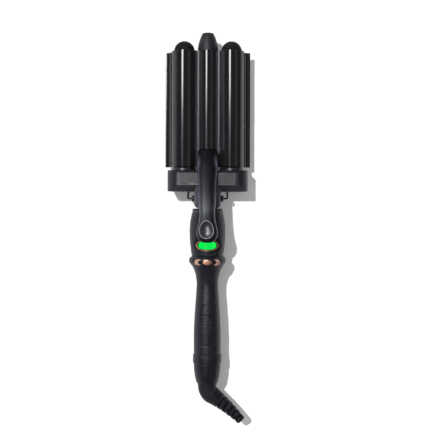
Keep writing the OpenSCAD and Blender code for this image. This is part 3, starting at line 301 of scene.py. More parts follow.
def finish(name, tones, roughness, grain=(900, 0.0), mottle=60, metallic=0.0, specular=0.5,
           stretch=(1, 1, 1), tint=(1, 1, 1)):
    # tones: two linear RGB colours mixed by a soft noise; roughness: (low, high) driven by a fine one;
    # grain: (noise scale per metre, bump height in mm)
    material = bpy.data.materials.new(name)
    material.use_nodes = True
    tree = material.node_tree
    shader = tree.nodes["Principled BSDF"]
    mapping = tree.nodes.new("ShaderNodeMapping")
    mapping.inputs["Scale"].default_value = stretch
    tree.links.new(placeOf(tree), mapping.inputs["Vector"])
    noises = []
    for scale, detail in ((mottle, 4), (grain[0], 3)):
        noise = tree.nodes.new("ShaderNodeTexNoise")
        noise.inputs["Scale"].default_value, noise.inputs["Detail"].default_value = scale, detail
        tree.links.new(mapping.outputs["Vector"], noise.inputs["Vector"])
        noises.append(noise.outputs["Fac"])
    soft, fine = noises
    tree.links.new(rampOf(tree, soft, [(0.3, tones[0]), (0.7, tones[1])]), shader.inputs["Base Color"])
    tree.links.new(rangeOf(tree, fine, (0, 1), roughness), shader.inputs["Roughness"])
    if grain[1]:
        bump = tree.nodes.new("ShaderNodeBump")
        bump.inputs["Distance"].default_value = grain[1] * 0.001
        tree.links.new(fine, bump.inputs["Height"])
        tree.links.new(bump.outputs["Normal"], shader.inputs["Normal"])
    shader.inputs["Metallic"].default_value = metallic
    shader.inputs["Specular IOR Level"].default_value = specular
    shader.inputs["Specular Tint"].default_value = (*tint, 1)
    return material


cool = (0.88, 0.88, 1.0)  # the plastics' shine leans to violet
barrelCoat = finish("barrelCoat", ((0.0095, 0.0093, 0.0100), (0.0135, 0.0130, 0.0132)), (0.06, 0.11),
                    grain=(6500, 0.0005), mottle=90)
# lighter, rougher coat: painted reflection in the valleys and on the lips
valleySheenCoat = finish("valleySheenCoat", ((0.016, 0.017, 0.020), (0.030, 0.031, 0.036)), (0.20, 0.40),
                    grain=(1500, 0.012), mottle=500)
capPlastic = finish("capPlastic", ((0.0040, 0.0040, 0.0044), (0.0060, 0.0060, 0.0066)), (0.62, 0.76),
                    grain=(2400, 0.006), specular=0.2)
tipPlastic = finish("tipPlastic", ((0.006, 0.006, 0.008), (0.009, 0.009, 0.011)), (0.46, 0.56),
                    grain=(2400, 0.006), specular=0.4)
collarPlastic = finish("collarPlastic", ((0.008, 0.009, 0.010), (0.012, 0.013, 0.014)), (0.26, 0.34),
                       grain=(2200, 0.006), specular=0.6)
headPlastic = finish("headPlastic", ((0.0042, 0.0046, 0.0058), (0.0076, 0.0080, 0.0092)), (0.34, 0.50),
                     grain=(520, 0.34), mottle=70, specular=0.85)
# same plastic with its shine turned down, as painted shade on the head's bevels and ends
headSideShade = finish("headSideShade", ((0.0046, 0.0046, 0.0062), (0.0076, 0.0076, 0.0098)), (0.40, 0.52),
                  grain=(900, 0.03), mottle=70, specular=0.52, tint=cool)
# much paler plastic, as a painted sheen on the neck
neckSheen = finish("neckSheen", ((0.046, 0.047, 0.060), (0.058, 0.059, 0.074)), (0.40, 0.50),
                     grain=(1400, 0.01), mottle=70, specular=0.42, tint=cool)
handlePlastic = finish("handlePlastic", ((0.0036, 0.0036, 0.0050), (0.0060, 0.0060, 0.0080)), (0.40, 0.50),
                       grain=(2400, 0.006), specular=0.44, tint=cool)
# lighter plastic as a painted highlight on the lower lip of the display's hollow
recessLipHighlight = finish("recessLipHighlight", ((0.026, 0.028, 0.032), (0.036, 0.038, 0.042)), (0.30, 0.40),
                   grain=(2400, 0.006), specular=0.6)
gripRubber = finish("gripRubber", ((0.0034, 0.0034, 0.0046), (0.0056, 0.0056, 0.0072)), (0.40, 0.50),
                    grain=(2200, 0.005), specular=0.52, tint=cool)
ringPlastic = finish("ringPlastic", ((0.0036, 0.0036, 0.0050), (0.0056, 0.0056, 0.0074)), (0.38, 0.48),
                     grain=(2400, 0.004), specular=0.42, tint=cool)
leverPlastic = finish("leverPlastic", ((0.0038, 0.0038, 0.0052), (0.0060, 0.0060, 0.0076)), (0.34, 0.44),
                      grain=(560, 0.08), specular=0.12, tint=(0.90, 0.94, 1.0))
# light grey that paints a highlight line along the lever's edge bead
leverEdgeHighlight = finish("leverEdgeHighlight", ((0.092, 0.095, 0.114), (0.112, 0.115, 0.134)), (0.36, 0.46),
                   grain=(1400, 0.01))


def paintedSideSheen(material, colour, stops, until):
    # painted sheen: up to that Y, a surface that leans sideways takes on the lighter colour as a painted side
    # highlight; stops are (lean, share)
    tree = material.node_tree
    tone = tree.nodes["Principled BSDF"].inputs["Base Color"]
    facing = axesOf(tree, tree.nodes.new("ShaderNodeNewGeometry").outputs["Normal"])[0]
    share = rampOf(tree, mathNode(tree, "ABSOLUTE", facing), stops)
    ends = [(hingePin.y + until + more) * 0.001 for more in (10, 0)]
    fade = rangeOf(tree, axesOf(tree, placeOf(tree))[1], ends)
    both = mathNode(tree, "MULTIPLY", share, fade)
    tree.links.new(mixOf(tree, both, tone.links[0].from_socket, colour), tone)


def paintedShineAlong(material, stops):
    # the shine level changes along the piece's own Y as painted light and shade; stops are (mm past the pin,
    # level)
    tree = material.node_tree
    first, last = stops[0][0], stops[-1][0]
    ends = [(hingePin.y + at) * 0.001 for at in (first, last)]
    reach = rangeOf(tree, axesOf(tree, placeOf(tree))[1], ends)
    level = rampOf(tree, reach, [((at - first) / (last - first), level) for at, level in stops])
    tree.links.new(level, tree.nodes["Principled BSDF"].inputs["Specular IOR Level"])


# painted sheen on the lever's sloping sides, faded out towards the foot
paintedSideSheen(leverPlastic, (0.098, 0.101, 0.128),
          [(0.0, 0.0), (0.24, 0.0), (0.38, 0.28), (0.52, 0.95), (0.66, 0.75), (0.80, 0.10), (1.0, 0.0)], 38)
# painted shade: low shine at the foot; painted highlight: high shine towards the thumb
paintedShineAlong(leverPlastic, [(53, 0.02), (42, 0.036), (31, 0.065), (20, 0.088), (9, 0.14), (-1, 0.25),
                           (-10, 0.46), (-13, 0.46), (-17, 0.24), (-50, 0.20)])
dishPlastic = finish("dishPlastic", ((0.010, 0.010, 0.011), (0.014, 0.014, 0.016)), (0.34, 0.42),
                     grain=(2600, 0.006), specular=1.0)
# light grey as a painted highlight line on the dish's raised rim
dishRimHighlight = finish("dishRimHighlight", ((0.25, 0.26, 0.27), (0.33, 0.34, 0.35)), (0.28, 0.36), grain=(2600, 0.003))
copperTrim = finish("copperTrim", ((0.50, 0.22, 0.12), (0.66, 0.32, 0.20)), (0.38, 0.50),
                    grain=(1500, 0.004), mottle=160, metallic=0.75)
copperButton = finish("copperButton", ((0.20, 0.07, 0.03), (0.92, 0.50, 0.34)), (0.20, 0.42),
                      grain=(520, 0.10), mottle=760, metallic=0.75)
roseButton = finish("roseButton", ((0.34, 0.15, 0.09), (0.95, 0.62, 0.50)), (0.30, 0.46),
                    grain=(620, 0.06), mottle=620, metallic=0.45)
wirePaint = finish("wirePaint", ((0.005, 0.005, 0.006), (0.008, 0.008, 0.009)), (0.34, 0.44),
                   grain=(1800, 0.003))
reliefRubber = finish("reliefRubber", ((0.0044, 0.0043, 0.0052), (0.0064, 0.0063, 0.0076)), (0.54, 0.64),
                      grain=(2200, 0.004), specular=0.40, tint=cool)
# near-black rubber as painted shade in the grooves and slits
grooveShadeRubber = finish("grooveShadeRubber", ((0.0008, 0.0008, 0.0010), (0.0016, 0.0016, 0.0020)), (0.70, 0.80),
                      grain=(2200, 0.004), specular=0.05)
steel = finish("steel", ((0.42, 0.42, 0.44), (0.58, 0.58, 0.6)), (0.24, 0.4), grain=(3000, 0.003),
               metallic=1.0)
darkSteel = finish("darkSteel", ((0.16, 0.16, 0.17), (0.26, 0.26, 0.28)), (0.3, 0.46),
                   grain=(3000, 0.003), metallic=1.0)
aluminium = finish("aluminium", ((0.62, 0.63, 0.64), (0.76, 0.77, 0.78)), (0.3, 0.46),
                   grain=(2600, 0.004), metallic=1.0, stretch=(1, 0.1, 1))
brass = finish("brass", ((0.6, 0.42, 0.14), (0.78, 0.58, 0.24)), (0.2, 0.36), grain=(2600, 0.003),
               metallic=1.0)
ceramic = finish("ceramic", ((0.70, 0.68, 0.62), (0.82, 0.80, 0.76)), (0.5, 0.66), grain=(2600, 0.01))
glassBead = finish("glassBead", ((0.34, 0.17, 0.06), (0.5, 0.28, 0.12)), (0.08, 0.14))
redWire = finish("redWire", ((0.36, 0.02, 0.02), (0.46, 0.04, 0.03)), (0.36, 0.46), grain=(1400, 0.01))
blueWire = finish("blueWire", ((0.03, 0.09, 0.32), (0.05, 0.14, 0.42)), (0.36, 0.46), grain=(1400, 0.01))
boardGreen = finish("boardGreen", ((0.015, 0.10, 0.045), (0.03, 0.17, 0.07)), (0.3, 0.42),
                    grain=(1600, 0.01), mottle=240)
moduleWhite = finish("moduleWhite", ((0.62, 0.64, 0.62), (0.74, 0.76, 0.74)), (0.4, 0.5), grain=(1800, 0.006))
componentBlack = finish("componentBlack", ((0.015, 0.015, 0.016), (0.03, 0.03, 0.032)), (0.4, 0.55),
                        grain=(1800, 0.01), mottle=200)


view = {"height": 0.88, "x": 0.0082, "y": 0.01485, "width": 0.473, "roll": 0.16}

cameraData = bpy.data.cameras.new("camera")
cameraData.sensor_width = 36
cameraData.lens = 36 * view["height"] / view["width"]
camera = newObject("camera", cameraData)
camera.location = (view["x"], view["y"], hingePin.z * 0.001 + view["height"])
camera.rotation_euler = (0, 0, radians(view["roll"]))
bpy.context.scene.camera = camera
bpy.context.scene.view_settings.view_transform = "Standard"

light = {"sun": 2.6, "angle": 1.6, "across": 0.42, "along": -0.37, "floorLift": 0.12}

sunData = bpy.data.lights.new("sun", "SUN")
sunData.energy = light["sun"]
sunData.angle = radians(light["angle"])
sun = newObject("sun", sunData)
sun.rotation_euler = Vector((light["across"], light["along"], -1)).to_track_quat("-Z", "Y").to_euler()
sun.location = (-0.6, 0.6, 1.4)
sun.visible_glossy = False  # the sun gives the shadow, the strip light gives the highlights

# strips: centre angle, half width, soft edge (degrees, + to the right), strength
studio = {"strips": ((-15.5, 6.0, 2.4, 22.0), (43.0, 7.0, 5.0, 0.5), (-74.0, 8.0, 6.0, 0.5),
                     (-91.0, 9.0, 5.0, 0.95)),
          "dim": ((0.0, 0.03), (0.28, 0.04), (0.46, 0.12), (0.56, 0.24), (0.61, 0.52), (0.83, 1.0)),
          "dimScale": 4.0, "stripEnd": (0.7, 1.1), "room": 0.07, "roomTone": (0.77, 0.79, 1.0), "fill": 0.32}


def studioWorld():
    # even fill for matt surfaces; glossy ones see a long strip light, a dim panel and dark walls
    world = bpy.data.worlds.new("studio")
    bpy.context.scene.world = world
    world.use_nodes = True
    tree = world.node_tree
    tree.nodes.clear()
    maths = partial(mathNode, tree)
    back = tree.nodes.new("ShaderNodeBackground")
    tree.links.new(back.outputs[0], tree.nodes.new("ShaderNodeOutputWorld").inputs[0])
    x, y, z = axesOf(tree, placeOf(tree, "Generated"))
    angle = maths("MULTIPLY", maths("ARCTAN2", x, z), 57.2958)  # degrees from straight up
    slope = maths("DIVIDE", y, maths("MAXIMUM", z, 0.05))
    levels = []
    for centre, half, soft, strength in studio["strips"]:
        off = maths("ABSOLUTE", maths("SUBTRACT", angle, centre))
        fade = maths("DIVIDE", maths("SUBTRACT", half + soft, off), soft, clamp=True)
        levels.append(maths("MULTIPLY", fade, strength))
    # the first strip dims along the barrels and ends past their tips
    dim = rampOf(tree, maths("MULTIPLY", slope, studio["dimScale"]), studio["dim"])
    end = rangeOf(tree, slope, studio["stripEnd"], (1.0, 0.0), "SMOOTHSTEP")
    levels[0] = maths("MULTIPLY", maths("MULTIPLY", levels[0], dim), end)
    total = levels[0]
    for level in levels[1:] + [studio["room"]]:
        total = maths("ADD", total, level)
    path = tree.nodes.new("ShaderNodeLightPath").outputs
    notGlossy = maths("SUBTRACT", 1.0, path["Is Glossy Ray"])
    lit = maths("ADD", maths("MULTIPLY", total, path["Is Glossy Ray"]),
                maths("MULTIPLY", notGlossy, studio["fill"]))
    seen = maths("MAXIMUM", path["Is Camera Ray"], path["Is Transmission Ray"])
    tree.links.new(maths("MAXIMUM", lit, seen), back.inputs["Strength"])
    strong = maths("MULTIPLY", total, 0.12, clamp=True)  # strong light is white, the dim room bluish
    tone = mixOf(tree, maths("MAXIMUM", strong, notGlossy), studio["roomTone"], (1, 1, 1))
    tree.links.new(tone, back.inputs["Color"])


studioWorld()


def paleFloor():
    # white table top with a faint grain, lying just under the lowest point
    bm = bmesh.new()
    bmesh.ops.create_grid(bm, x_segments=4, y_segments=4, size=2.4)
    bmesh.ops.translate(bm, vec=(0, 0, cadBox[0][2] - 0.0002), verts=bm.verts[:])
    floor = newObject("tableTop", bpy.data.meshes.new("tableTop"))
    bm.to_mesh(floor.data)
    bm.free()
    white = finish("tableWhite", ((0.985, 0.985, 0.985), (1.0, 1.0, 1.0)), (0.8, 0.9),
                   grain=(60, 0.0), mottle=4, specular=0.0)
    tree = white.node_tree
    shader = tree.nodes["Principled BSDF"]
    shader.inputs["Emission Color"].default_value = (1, 1, 1, 1)
    seen = tree.nodes.new("ShaderNodeLightPath").outputs["Is Camera Ray"]
    tree.links.new(mathNode(tree, "MULTIPLY", seen, light["floorLift"]), shader.inputs["Emission Strength"])
    floor.data.materials.append(white)


paleFloor()
print("camera, light and floor set")


jaw = {"start": 34.6, "end": 161.4, "pitch": 25.9, "barrel": 11.4, "bore": 9.8, "shellIn": 12.6,
       "shellOut": 14.0, "valley": 5.5, "webEdge": 2.2, "lipIn": 6.9, "lipOut": 8.3, "round": 0.22,
       "stub": 14.5, "overlap": 0.3, "dull": 2.6, "dullLip": 0.8}


def jawAngles():
    # middle of the fillet in the valley between barrel and shell, then in degrees: where it meets the
    # barrel and the shell, its own turn, and the half widths of the webs on the barrel and the shell
    toBarrel, toShell = jaw["barrel"] + jaw["valley"], jaw["shellOut"] + jaw["valley"]
    x = (toBarrel ** 2 - toShell ** 2 + jaw["pitch"] ** 2) / (2 * jaw["pitch"])
    z = sqrt(toBarrel ** 2 - x ** 2)
    onBarrel = degrees(atan2(z, x))
    onShell = degrees(atan2(z, jaw["pitch"] - x))
    webs = [degrees(asin(jaw["webEdge"] / jaw[key])) for key in ("barrel", "shellIn")]
    return x, z, onBarrel, onShell, 180 - onBarrel - onShell, *webs


def movingJaw():
    p, r, s, web, bore = (jaw[key] for key in ("pitch", "barrel", "shellIn", "webEdge", "bore"))
    vx, vz, onBarrel, onShell, valleyTurn, barrelWeb, shellWeb = jawAngles()
    lipX = p + jaw["shellOut"] + jaw["lipIn"]
    bm = bmesh.new()
    # the wings and the barrel's upper half, then the closed ring below
    drawFace(bm, (bore, 0), [
        (r, 0), (0, 0, barrelWeb, 4),
        (p - s * cos(radians(shellWeb)), web),
        (p, 0, -(180 - shellWeb), 44),
        (lipX, 0, 90, 18), (lipX, -jaw["lipIn"]), (lipX, 0, -90, 16),
        (p, 0, 180 - onShell, 44), (vx, vz, -valleyTurn, 20),
        (0, 0, 180 - 2 * onBarrel, 32), (-vx, vz, -valleyTurn, 20),
        (-p, 0, 180 - onShell, 44),
        (-lipX, 0, -90, 16), (-lipX, -jaw["lipOut"]), (-lipX, 0, 90, 18),
        (-p, 0, -(180 - shellWeb), 44),
        (-r * cos(radians(barrelWeb)), web),
        (0, 0, barrelWeb, 4),
        (-bore, 0), (0, 0, -180, 48)])
    drawFace(bm, (bore, 0), [(0, 0, -180, 48), (-r, 0), (0, 0, 180, 56)])
    bmesh.ops.remove_doubles(bm, verts=bm.verts[:], dist=0.0005)
    pull(bm, jaw["start"], jaw["end"])
    piece = addPiece("middleJaw", bm, barrelCoat, "jaw_lever", "moving_jaw",
                     edge=jaw["round"], smoothAngle=30)
    # the coat is duller and rougher down in the two valleys and on the lips, and painted lighter grey there
    # as a painted reflection of their glints
    lip = lipX + jaw["lipIn"] * 0.5
    dress(piece, valleySheenCoat, lambda at, normal: normal.z > 0.3 and (
        abs(abs(at.x) - vx) < jaw["dull"] or abs(abs(at.x) - lip) < jaw["dullLip"]))


def fixedJaw():
    p, r, s, web, bore = (jaw[key] for key in ("pitch", "barrel", "shellIn", "webEdge", "bore"))
    vx, vz, onBarrel, onShell, valleyTurn, barrelWeb, shellWeb = jawAngles()
    bm = bmesh.new()
    # lower face from the right barrel's outer side, under the trough, to the left one
    drawFace(bm, (p + bore, 0), [
        (p, 0, -180, 40), (p - r, 0), (p, 0, barrelWeb, 4),
        (s * cos(radians(shellWeb)), -web),
        (0, 0, -(180 - 2 * shellWeb), 48),
        (-(p - r * cos(radians(barrelWeb))), -web), (-p, 0, barrelWeb, 4),
        (-(p - bore), 0), (-p, 0, -180, 40), (-(p + r), 0),
        (-p, 0, 180 - onBarrel, 40), (-(p - vx), -vz, -valleyTurn, 20),
        (0, 0, 180 - 2 * onShell, 40), (p - vx, -vz, -valleyTurn, 20),
        (p, 0, 180 - onBarrel, 40)])
    for x in (-p, p):
        drawFace(bm, (x + bore, 0), [(x + r, 0), (x, 0, 180, 56), (x - bore, 0), (x, 0, -180, 40)])
    bmesh.ops.remove_doubles(bm, verts=bm.verts[:], dist=0.0005)
    pull(bm, jaw["start"], jaw["end"])
    for x in (-p, p):
        stub = bmesh.new()
        low, high = jaw["stub"], jaw["start"] + jaw["overlap"]
        revolve(stub, [(bore, low), (r, low), (r, high), (bore, high)], steps=72, axisX=x)
        bm.from_mesh(asMesh(stub))
    addPiece("outerBarrels", bm, barrelCoat, "frame", "fixed_jaw", edge=jaw["round"],
             smoothAngle=30)


def domeCaps():
    cap = {"spigot": 9.7, "spigotLength": 8.0, "lip": 0.35, "steps": 24}
    r, y, low = jaw["barrel"], jaw["end"], jaw["end"] - cap["spigotLength"]
    profile = [(0.0, low), (cap["spigot"], low), (cap["spigot"], y), (r - 0.06, y),
               (r - 0.02, y + cap["lip"])]
    for i in range(1, cap["steps"]):
        turn = radians(90 * i / cap["steps"])
        profile.append((r * cos(turn), y + r * sin(turn)))
    for side, name, node in ((-1, "leftDome", "left_dome_cap"), (1, "rightDome", "right_dome_cap")):
        bm = bmesh.new()
        revolve(bm, profile + [(0.0, y + r)], axisX=side * jaw["pitch"], closed=False)
        addPiece(name, bm, capPlastic, "frame", node)


def coolTip():
    tip = {"start": 161.4, "end": 181.4, "base": 11.4, "top": 6.6, "belly": 1.1, "chamfer": 0.8,
           "spigot": 9.7, "spigotLength": 8}
    start, end, base, top = tip["start"], tip["end"], tip["base"], tip["top"]
    profile = [(0.0, start - tip["spigotLength"]), (tip["spigot"], start - tip["spigotLength"]),
               (tip["spigot"], start), (base - 0.12, start), (base - 0.02, start + 0.3)]
    for i in range(1, 21):
        share = i / 20
        profile.append((base + (top - base) * share + tip["belly"] * sin(pi * share),
                        start + (end - tip["chamfer"] - start) * share))
    profile += [(top - tip["chamfer"] * 0.75, end, 0.25), (top - 1.6, end, 0.1), (top - 1.9, end - 0.25),
                (0.0, end - 0.3)]
    bm = bmesh.new()
    revolve(bm, profile, closed=False)
    addPiece("coolTipCap", bm, tipPlastic, "jaw_lever", "cool_tip", smoothAngle=34)


def barrelCollars():
    collar = {"low": 22.6, "top": 34.0, "outer": 13.1, "inner": 11.5, "lead": 1.2}
    bm = bmesh.new()
    for side in (-1, 1):
        part = bmesh.new()
        revolve(part, [(collar["inner"], collar["low"]), (collar["outer"], collar["low"]),
                       (collar["outer"], collar["top"] - collar["lead"], 0.6),
                       (collar["outer"] - collar["lead"], collar["top"], 0.3),
                       (collar["inner"], collar["top"])], axisX=side * jaw["pitch"])
        bm.from_mesh(asMesh(part))
    addPiece("collarPair", bm, collarPlastic, "frame", "barrel_collars")


movingJaw()
fixedJaw()
domeCaps()
coolTip()
barrelCollars()
print("jaws made")


head = {"half": 44.05, "low": 7.8, "top": 30.6, "front": 15.4, "back": -17.9, "flatFrom": 0.96,
        "frontRound": 15.0, "backRound": 8.0, "topBevel": 3.0, "topDrop": 2.8, "lowBevel": 6.4,
        "lowDrop": 7.5, "corner": (8.0, 8.9, 22.9), "backBevel": 3.0, "edge": 0.7, "neckHalf": 14.45,
        "neckLow": -10.3, "neckFront": 15.7, "neckBack": -13.0, "neckCorner": 7.0, "neckChamfer": 2.6,
        "neckTop": 28.1, "fairHalf": 12.0, "slotHalf": 7.4, "slotLow": -8.2, "slotFloor": -5.3,
        "slotTop": 13.8, "slotFront": 20, "notchLow": 12.8, "notchFloor": 11.0, "notchTop": 32,
        "spigot": 10.4, "spigotFrom": -28.8, "spigotTo": -9.0, "pinBore": 2.05, "pinHalf": 16,
        "screws": ((40.7, 19.2), (-40.7, 19.2), (8.0, 25.0), (-8.0, 25.0)), "screwDepth": -20}


def roundedBlock(bm, half, back, front, frontRound, backRound, low, top):
    # block along Y whose section has its own radius at the front and at the back corners
    drawFace(bm, (half, front - frontRound), [
        (half - frontRound, front - frontRound, 90, 16), (-(half - frontRound), front),
        (-(half - frontRound), front - frontRound, 90, 16), (-half, back + backRound),
        (-(half - backRound), back + backRound, 90, 12), (half - backRound, back),
        (half - backRound, back + backRound, 90, 12)])
    pull(bm, low, top)


def headBody():
    half, low, top, front, back = (head[key] for key in ("half", "low", "top", "front", "back"))
    bar = bmesh.new()
    roundedBlock(bar, half, back, front, head["frontRound"], head["backRound"], low, top)
    trim(bar, (0, top - head["topBevel"], front), (0, head["topDrop"], head["topBevel"]))
    trim(bar, (0, low + head["lowBevel"], front), (0, -head["lowDrop"], head["lowBevel"]))
    for side in (-1, 1):
        x, y, z = head["corner"]
        trim(bar, (side * (half - x), low, back), (side / x, -1 / y, -1 / z))
    trim(bar, (0, top - head["backBevel"], back), (0, 1, -1))
    trim(bar, (0, low + head["backBevel"], back), (0, -1, -1))
    neck = bmesh.new()
    roundedBlock(neck, head["neckHalf"], head["neckBack"], head["neckFront"], head["neckCorner"],
                 head["neckCorner"], head["neckLow"], head["neckTop"])
    for side in (-1, 1):
        cut = head["neckChamfer"]
        trim(neck, (side * (head["neckHalf"] - cut), head["neckLow"], 0), (side * cut, -cut, 0))
        trim(neck, (side * head["neckHalf"], head["slotTop"], 0),
             (side * (head["neckTop"] - head["slotTop"]), head["neckHalf"] - head["fairHalf"], 0))
    spigot, slot, notch, pin = (bmesh.new() for i in range(4))
    roundBar(spigot, head["spigot"], (0, head["spigotFrom"], 0), (0, head["spigotTo"], 0), 64)
    for block, kind in ((slot, "slot"), (notch, "notch")):
        boxOf(block, (-head["slotHalf"], head[kind + "Low"], head[kind + "Floor"]),
              (head["slotHalf"], head[kind + "Top"], head["slotFront"]))
    roundBar(pin, head["pinBore"], (-head["pinHalf"], 0, 0), (head["pinHalf"], 0, 0), 32)
    whole = carve(bar, [neck, spigot], "UNION")
    return carve(whole, [slot, notch, pin, screwHoles(head["screws"], head["screwDepth"])])


def headHousing():
    bm = bmesh.new()
    bm.from_mesh(headBody())
    bmesh.ops.remove_doubles(bm, verts=bm.verts[:], dist=0.001)
    whole = asMesh(bm)
    for name, node, side in (("headFront", "housing_front", 1), ("headRear", "housing_rear", -1)):
        mesh = carve(whole, [otherHalf(side, -60, 60)])
        piece = addPiece(name, mesh, headPlastic, "frame", node, edge=head["edge"],
                         edgeAngle=28, smoothAngle=30)
        # the flat front is grained and keeps full shine; the bevels and ends are smoother and get less shine
        # as painted shade; the neck is painted pale as a painted sheen
        neckX, neckY = head["neckHalf"] + 0.2, head["low"] - 0.1
        dress(piece, headSideShade, lambda at, normal: normal.z < head["flatFrom"] or abs(at.x) < neckX)
        dress(piece, neckSheen, lambda at, normal: abs(at.x) < neckX and at.y < neckY)


headHousing()
print("head made")


# Y, half width, underside, top, height of the crowned upper part
leverStations = [
    (53.7, 5.9, 12.5, 16.2, 1.6), (53.0, 8.9, 10.9, 18.5, 3.0), (51.1, 10.4, 9.2, 19.8, 4.2),
    (47.5, 10.7, 9.1, 20.4, 4.8), (43.7, 10.76, 9.1, 20.6, 4.8), (37.7, 11.18, 9.1, 20.9, 4.6),
    (34.2, 11.7, 14.0, 21.2, 4.2), (30.6, 11.58, 17.9, 21.6, 3.6), (20, 10.53, 18.5, 22.9, 3.4),
    (8.7, 9.83, 18.6, 25.0, 3.2), (0, 9.32, 19.0, 27.0, 3.0), (-9, 8.72, 21.3, 29.4, 2.8),
    (-18, 8.3, 25.0, 31.9, 2.6), (-26.1, 9.19, 27.1, 32.8, 2.4), (-32.8, 10.86, 28.7, 33.2, 2.2),
    (-38, 11.2, 29.4, 33.76, 2.0), (-42.75, 9.97, 30.1, 34.26, 1.8), (-46.1, 6.94, 30.9, 33.9, 1.4),
    (-47.5, 3.14, 31.6, 33.0, 0.7)]
lever = {"squareOff": 0.62, "crownPower": 2.3, "edge": 0.2, "beadAt": 0.962, "beadWidth": 0.03,
         "beadHeight": 0.36, "paleFrom": 0.925, "paleTo": 0.997, "paleUpTo": 6.0}


def curveThrough(rows, perSpan):
    # Catmull-Rom through rows of numbers
    out = []
    for i in range(len(rows) - 1):
        a, b = rows[max(i - 1, 0)], rows[i]
        c, d = rows[i + 1], rows[min(i + 2, len(rows) - 1)]
        for k in range(perSpan):
            t = k / perSpan
            out.append(tuple(0.5 * (2 * q + (r - p) * t + (2 * p - 5 * q + 4 * r - s) * t * t
                                    + (3 * q - p - 3 * r + s) * t ** 3)
                             for p, q, r, s in zip(a, b, c, d)))
    return out + [rows[-1]]


dish = {"y": -33.63, "z": 33.3, "slope": -6.0, "x": -0.9, "halfWidth": 7.9, "halfLength": 9.8,
        "egg": 0.12, "proud": 0.4, "bowl": 6.8, "depth": 2.0, "seat": -2.9, "seatTop": 6.0}


def eggVerts(bm, grow, z, segments=64):
    # egg outline with its narrow end towards the tips
    verts = bmesh.ops.create_circle(bm, cap_ends=False, radius=1.0, segments=segments)["verts"]
    for vert in verts:
        x, y = vert.co.x, vert.co.y
        vert.co = ((dish["halfWidth"] + grow) * x * (1 - dish["egg"] * y), (dish["halfLength"] + grow) * y, z)
    return verts


def dishPlace():
    slope = Matrix.Rotation(radians(dish["slope"]), 4, "X")
    return Matrix.Translation((dish["x"], dish["y"], dish["z"])) @ slope


def leverCover():
    bm = bmesh.new()
    rows = curveThrough(leverStations, 4)
    rings = []
    for y, half, low, top, crown in rows:
        place = Matrix(((half, 0, 0, 0), (0, 0, 1, y), (0, 1, 0, 0), (0, 0, 0, 1)))
        ring = ringOf(bm, place, 112, lever["squareOff"])
        for vert in ring:
            bead, out = 0.0, abs(vert.co.x) / half
            if vert.co.z > 0:
                vert.co.z = (1 - min(out, 1.0) ** lever["crownPower"]) ** 0.5
                bead = lever["beadHeight"] * exp(-((out - lever["beadAt"]) / lever["beadWidth"]) ** 2)
            vert.co.z = top - crown + vert.co.z * (crown if vert.co.z > 0 else top - crown - low) + bead
        rings.append(ring)
    loft(bm, rings)
    seat = bmesh.new()
    loft(seat, [eggVerts(seat, 0.05, z) for z in (dish["seat"], dish["seatTop"])])
    bmesh.ops.transform(seat, matrix=dishPlace(), verts=seat.verts[:])
    piece = addPiece("leverCover", carve(bm, [seat]), leverPlastic, "jaw_lever", "lever_cover",
                     edge=lever["edge"], smoothAngle=42)

    def onBead(at, normal):
        half = min(rows, key=lambda row: abs(row[0] - at.y))[1]
        onTop = at.y < lever["paleUpTo"] and normal.z > 0.12
        return onTop and lever["paleFrom"] < abs(at.x) / half < lever["paleTo"]

    dress(piece, leverEdgeHighlight, onBead)  # the bead along the outline gets a painted highlight line


def thumbDish():
    # rim, then a bowl that falls to its deepest point a little below the middle; rows are (grow, height)
    bm = bmesh.new()
    rows = [(-0.05, -2.85), (-0.05, 0.16), (-0.2, 0.34), (-0.4, dish["proud"]), (-0.6, 0.3), (-0.8, 0.1)]
    rows += [(-0.9 - dish["bowl"] * s, 0.1 - dish["depth"] * (1 - (1 - s) ** 2))
             for s in (0.06, 0.14, 0.24, 0.36, 0.5, 0.64, 0.78, 0.9, 0.98)]
    loft(bm, [eggVerts(bm, grow, z) for grow, z in rows])
    # the rim's top faces take the second material, a painted highlight line
    for face in bm.faces:
        face.material_index = 1 if face.calc_center_median().z > 0.14 and len(face.verts) == 4 else 0
    bmesh.ops.transform(bm, matrix=dishPlace(), verts=bm.verts[:])
    piece = addPiece("thumbDish", bm, dishPlastic, "jaw_lever", "thumb_dish_rim",
                     smoothAngle=50)
    piece.data.materials.append(dishRimHighlight)


leverCover()
thumbDish()
print("lever made")


bail = {"half": 21.8, "reach": 64.0, "crank": 6.0, "drop": -19.2, "wire": 1.0, "bend": 2.6, "inner": 18.15,
        "pin": 0.9, "pinFrom": 12.0, "pinTo": 18.4}


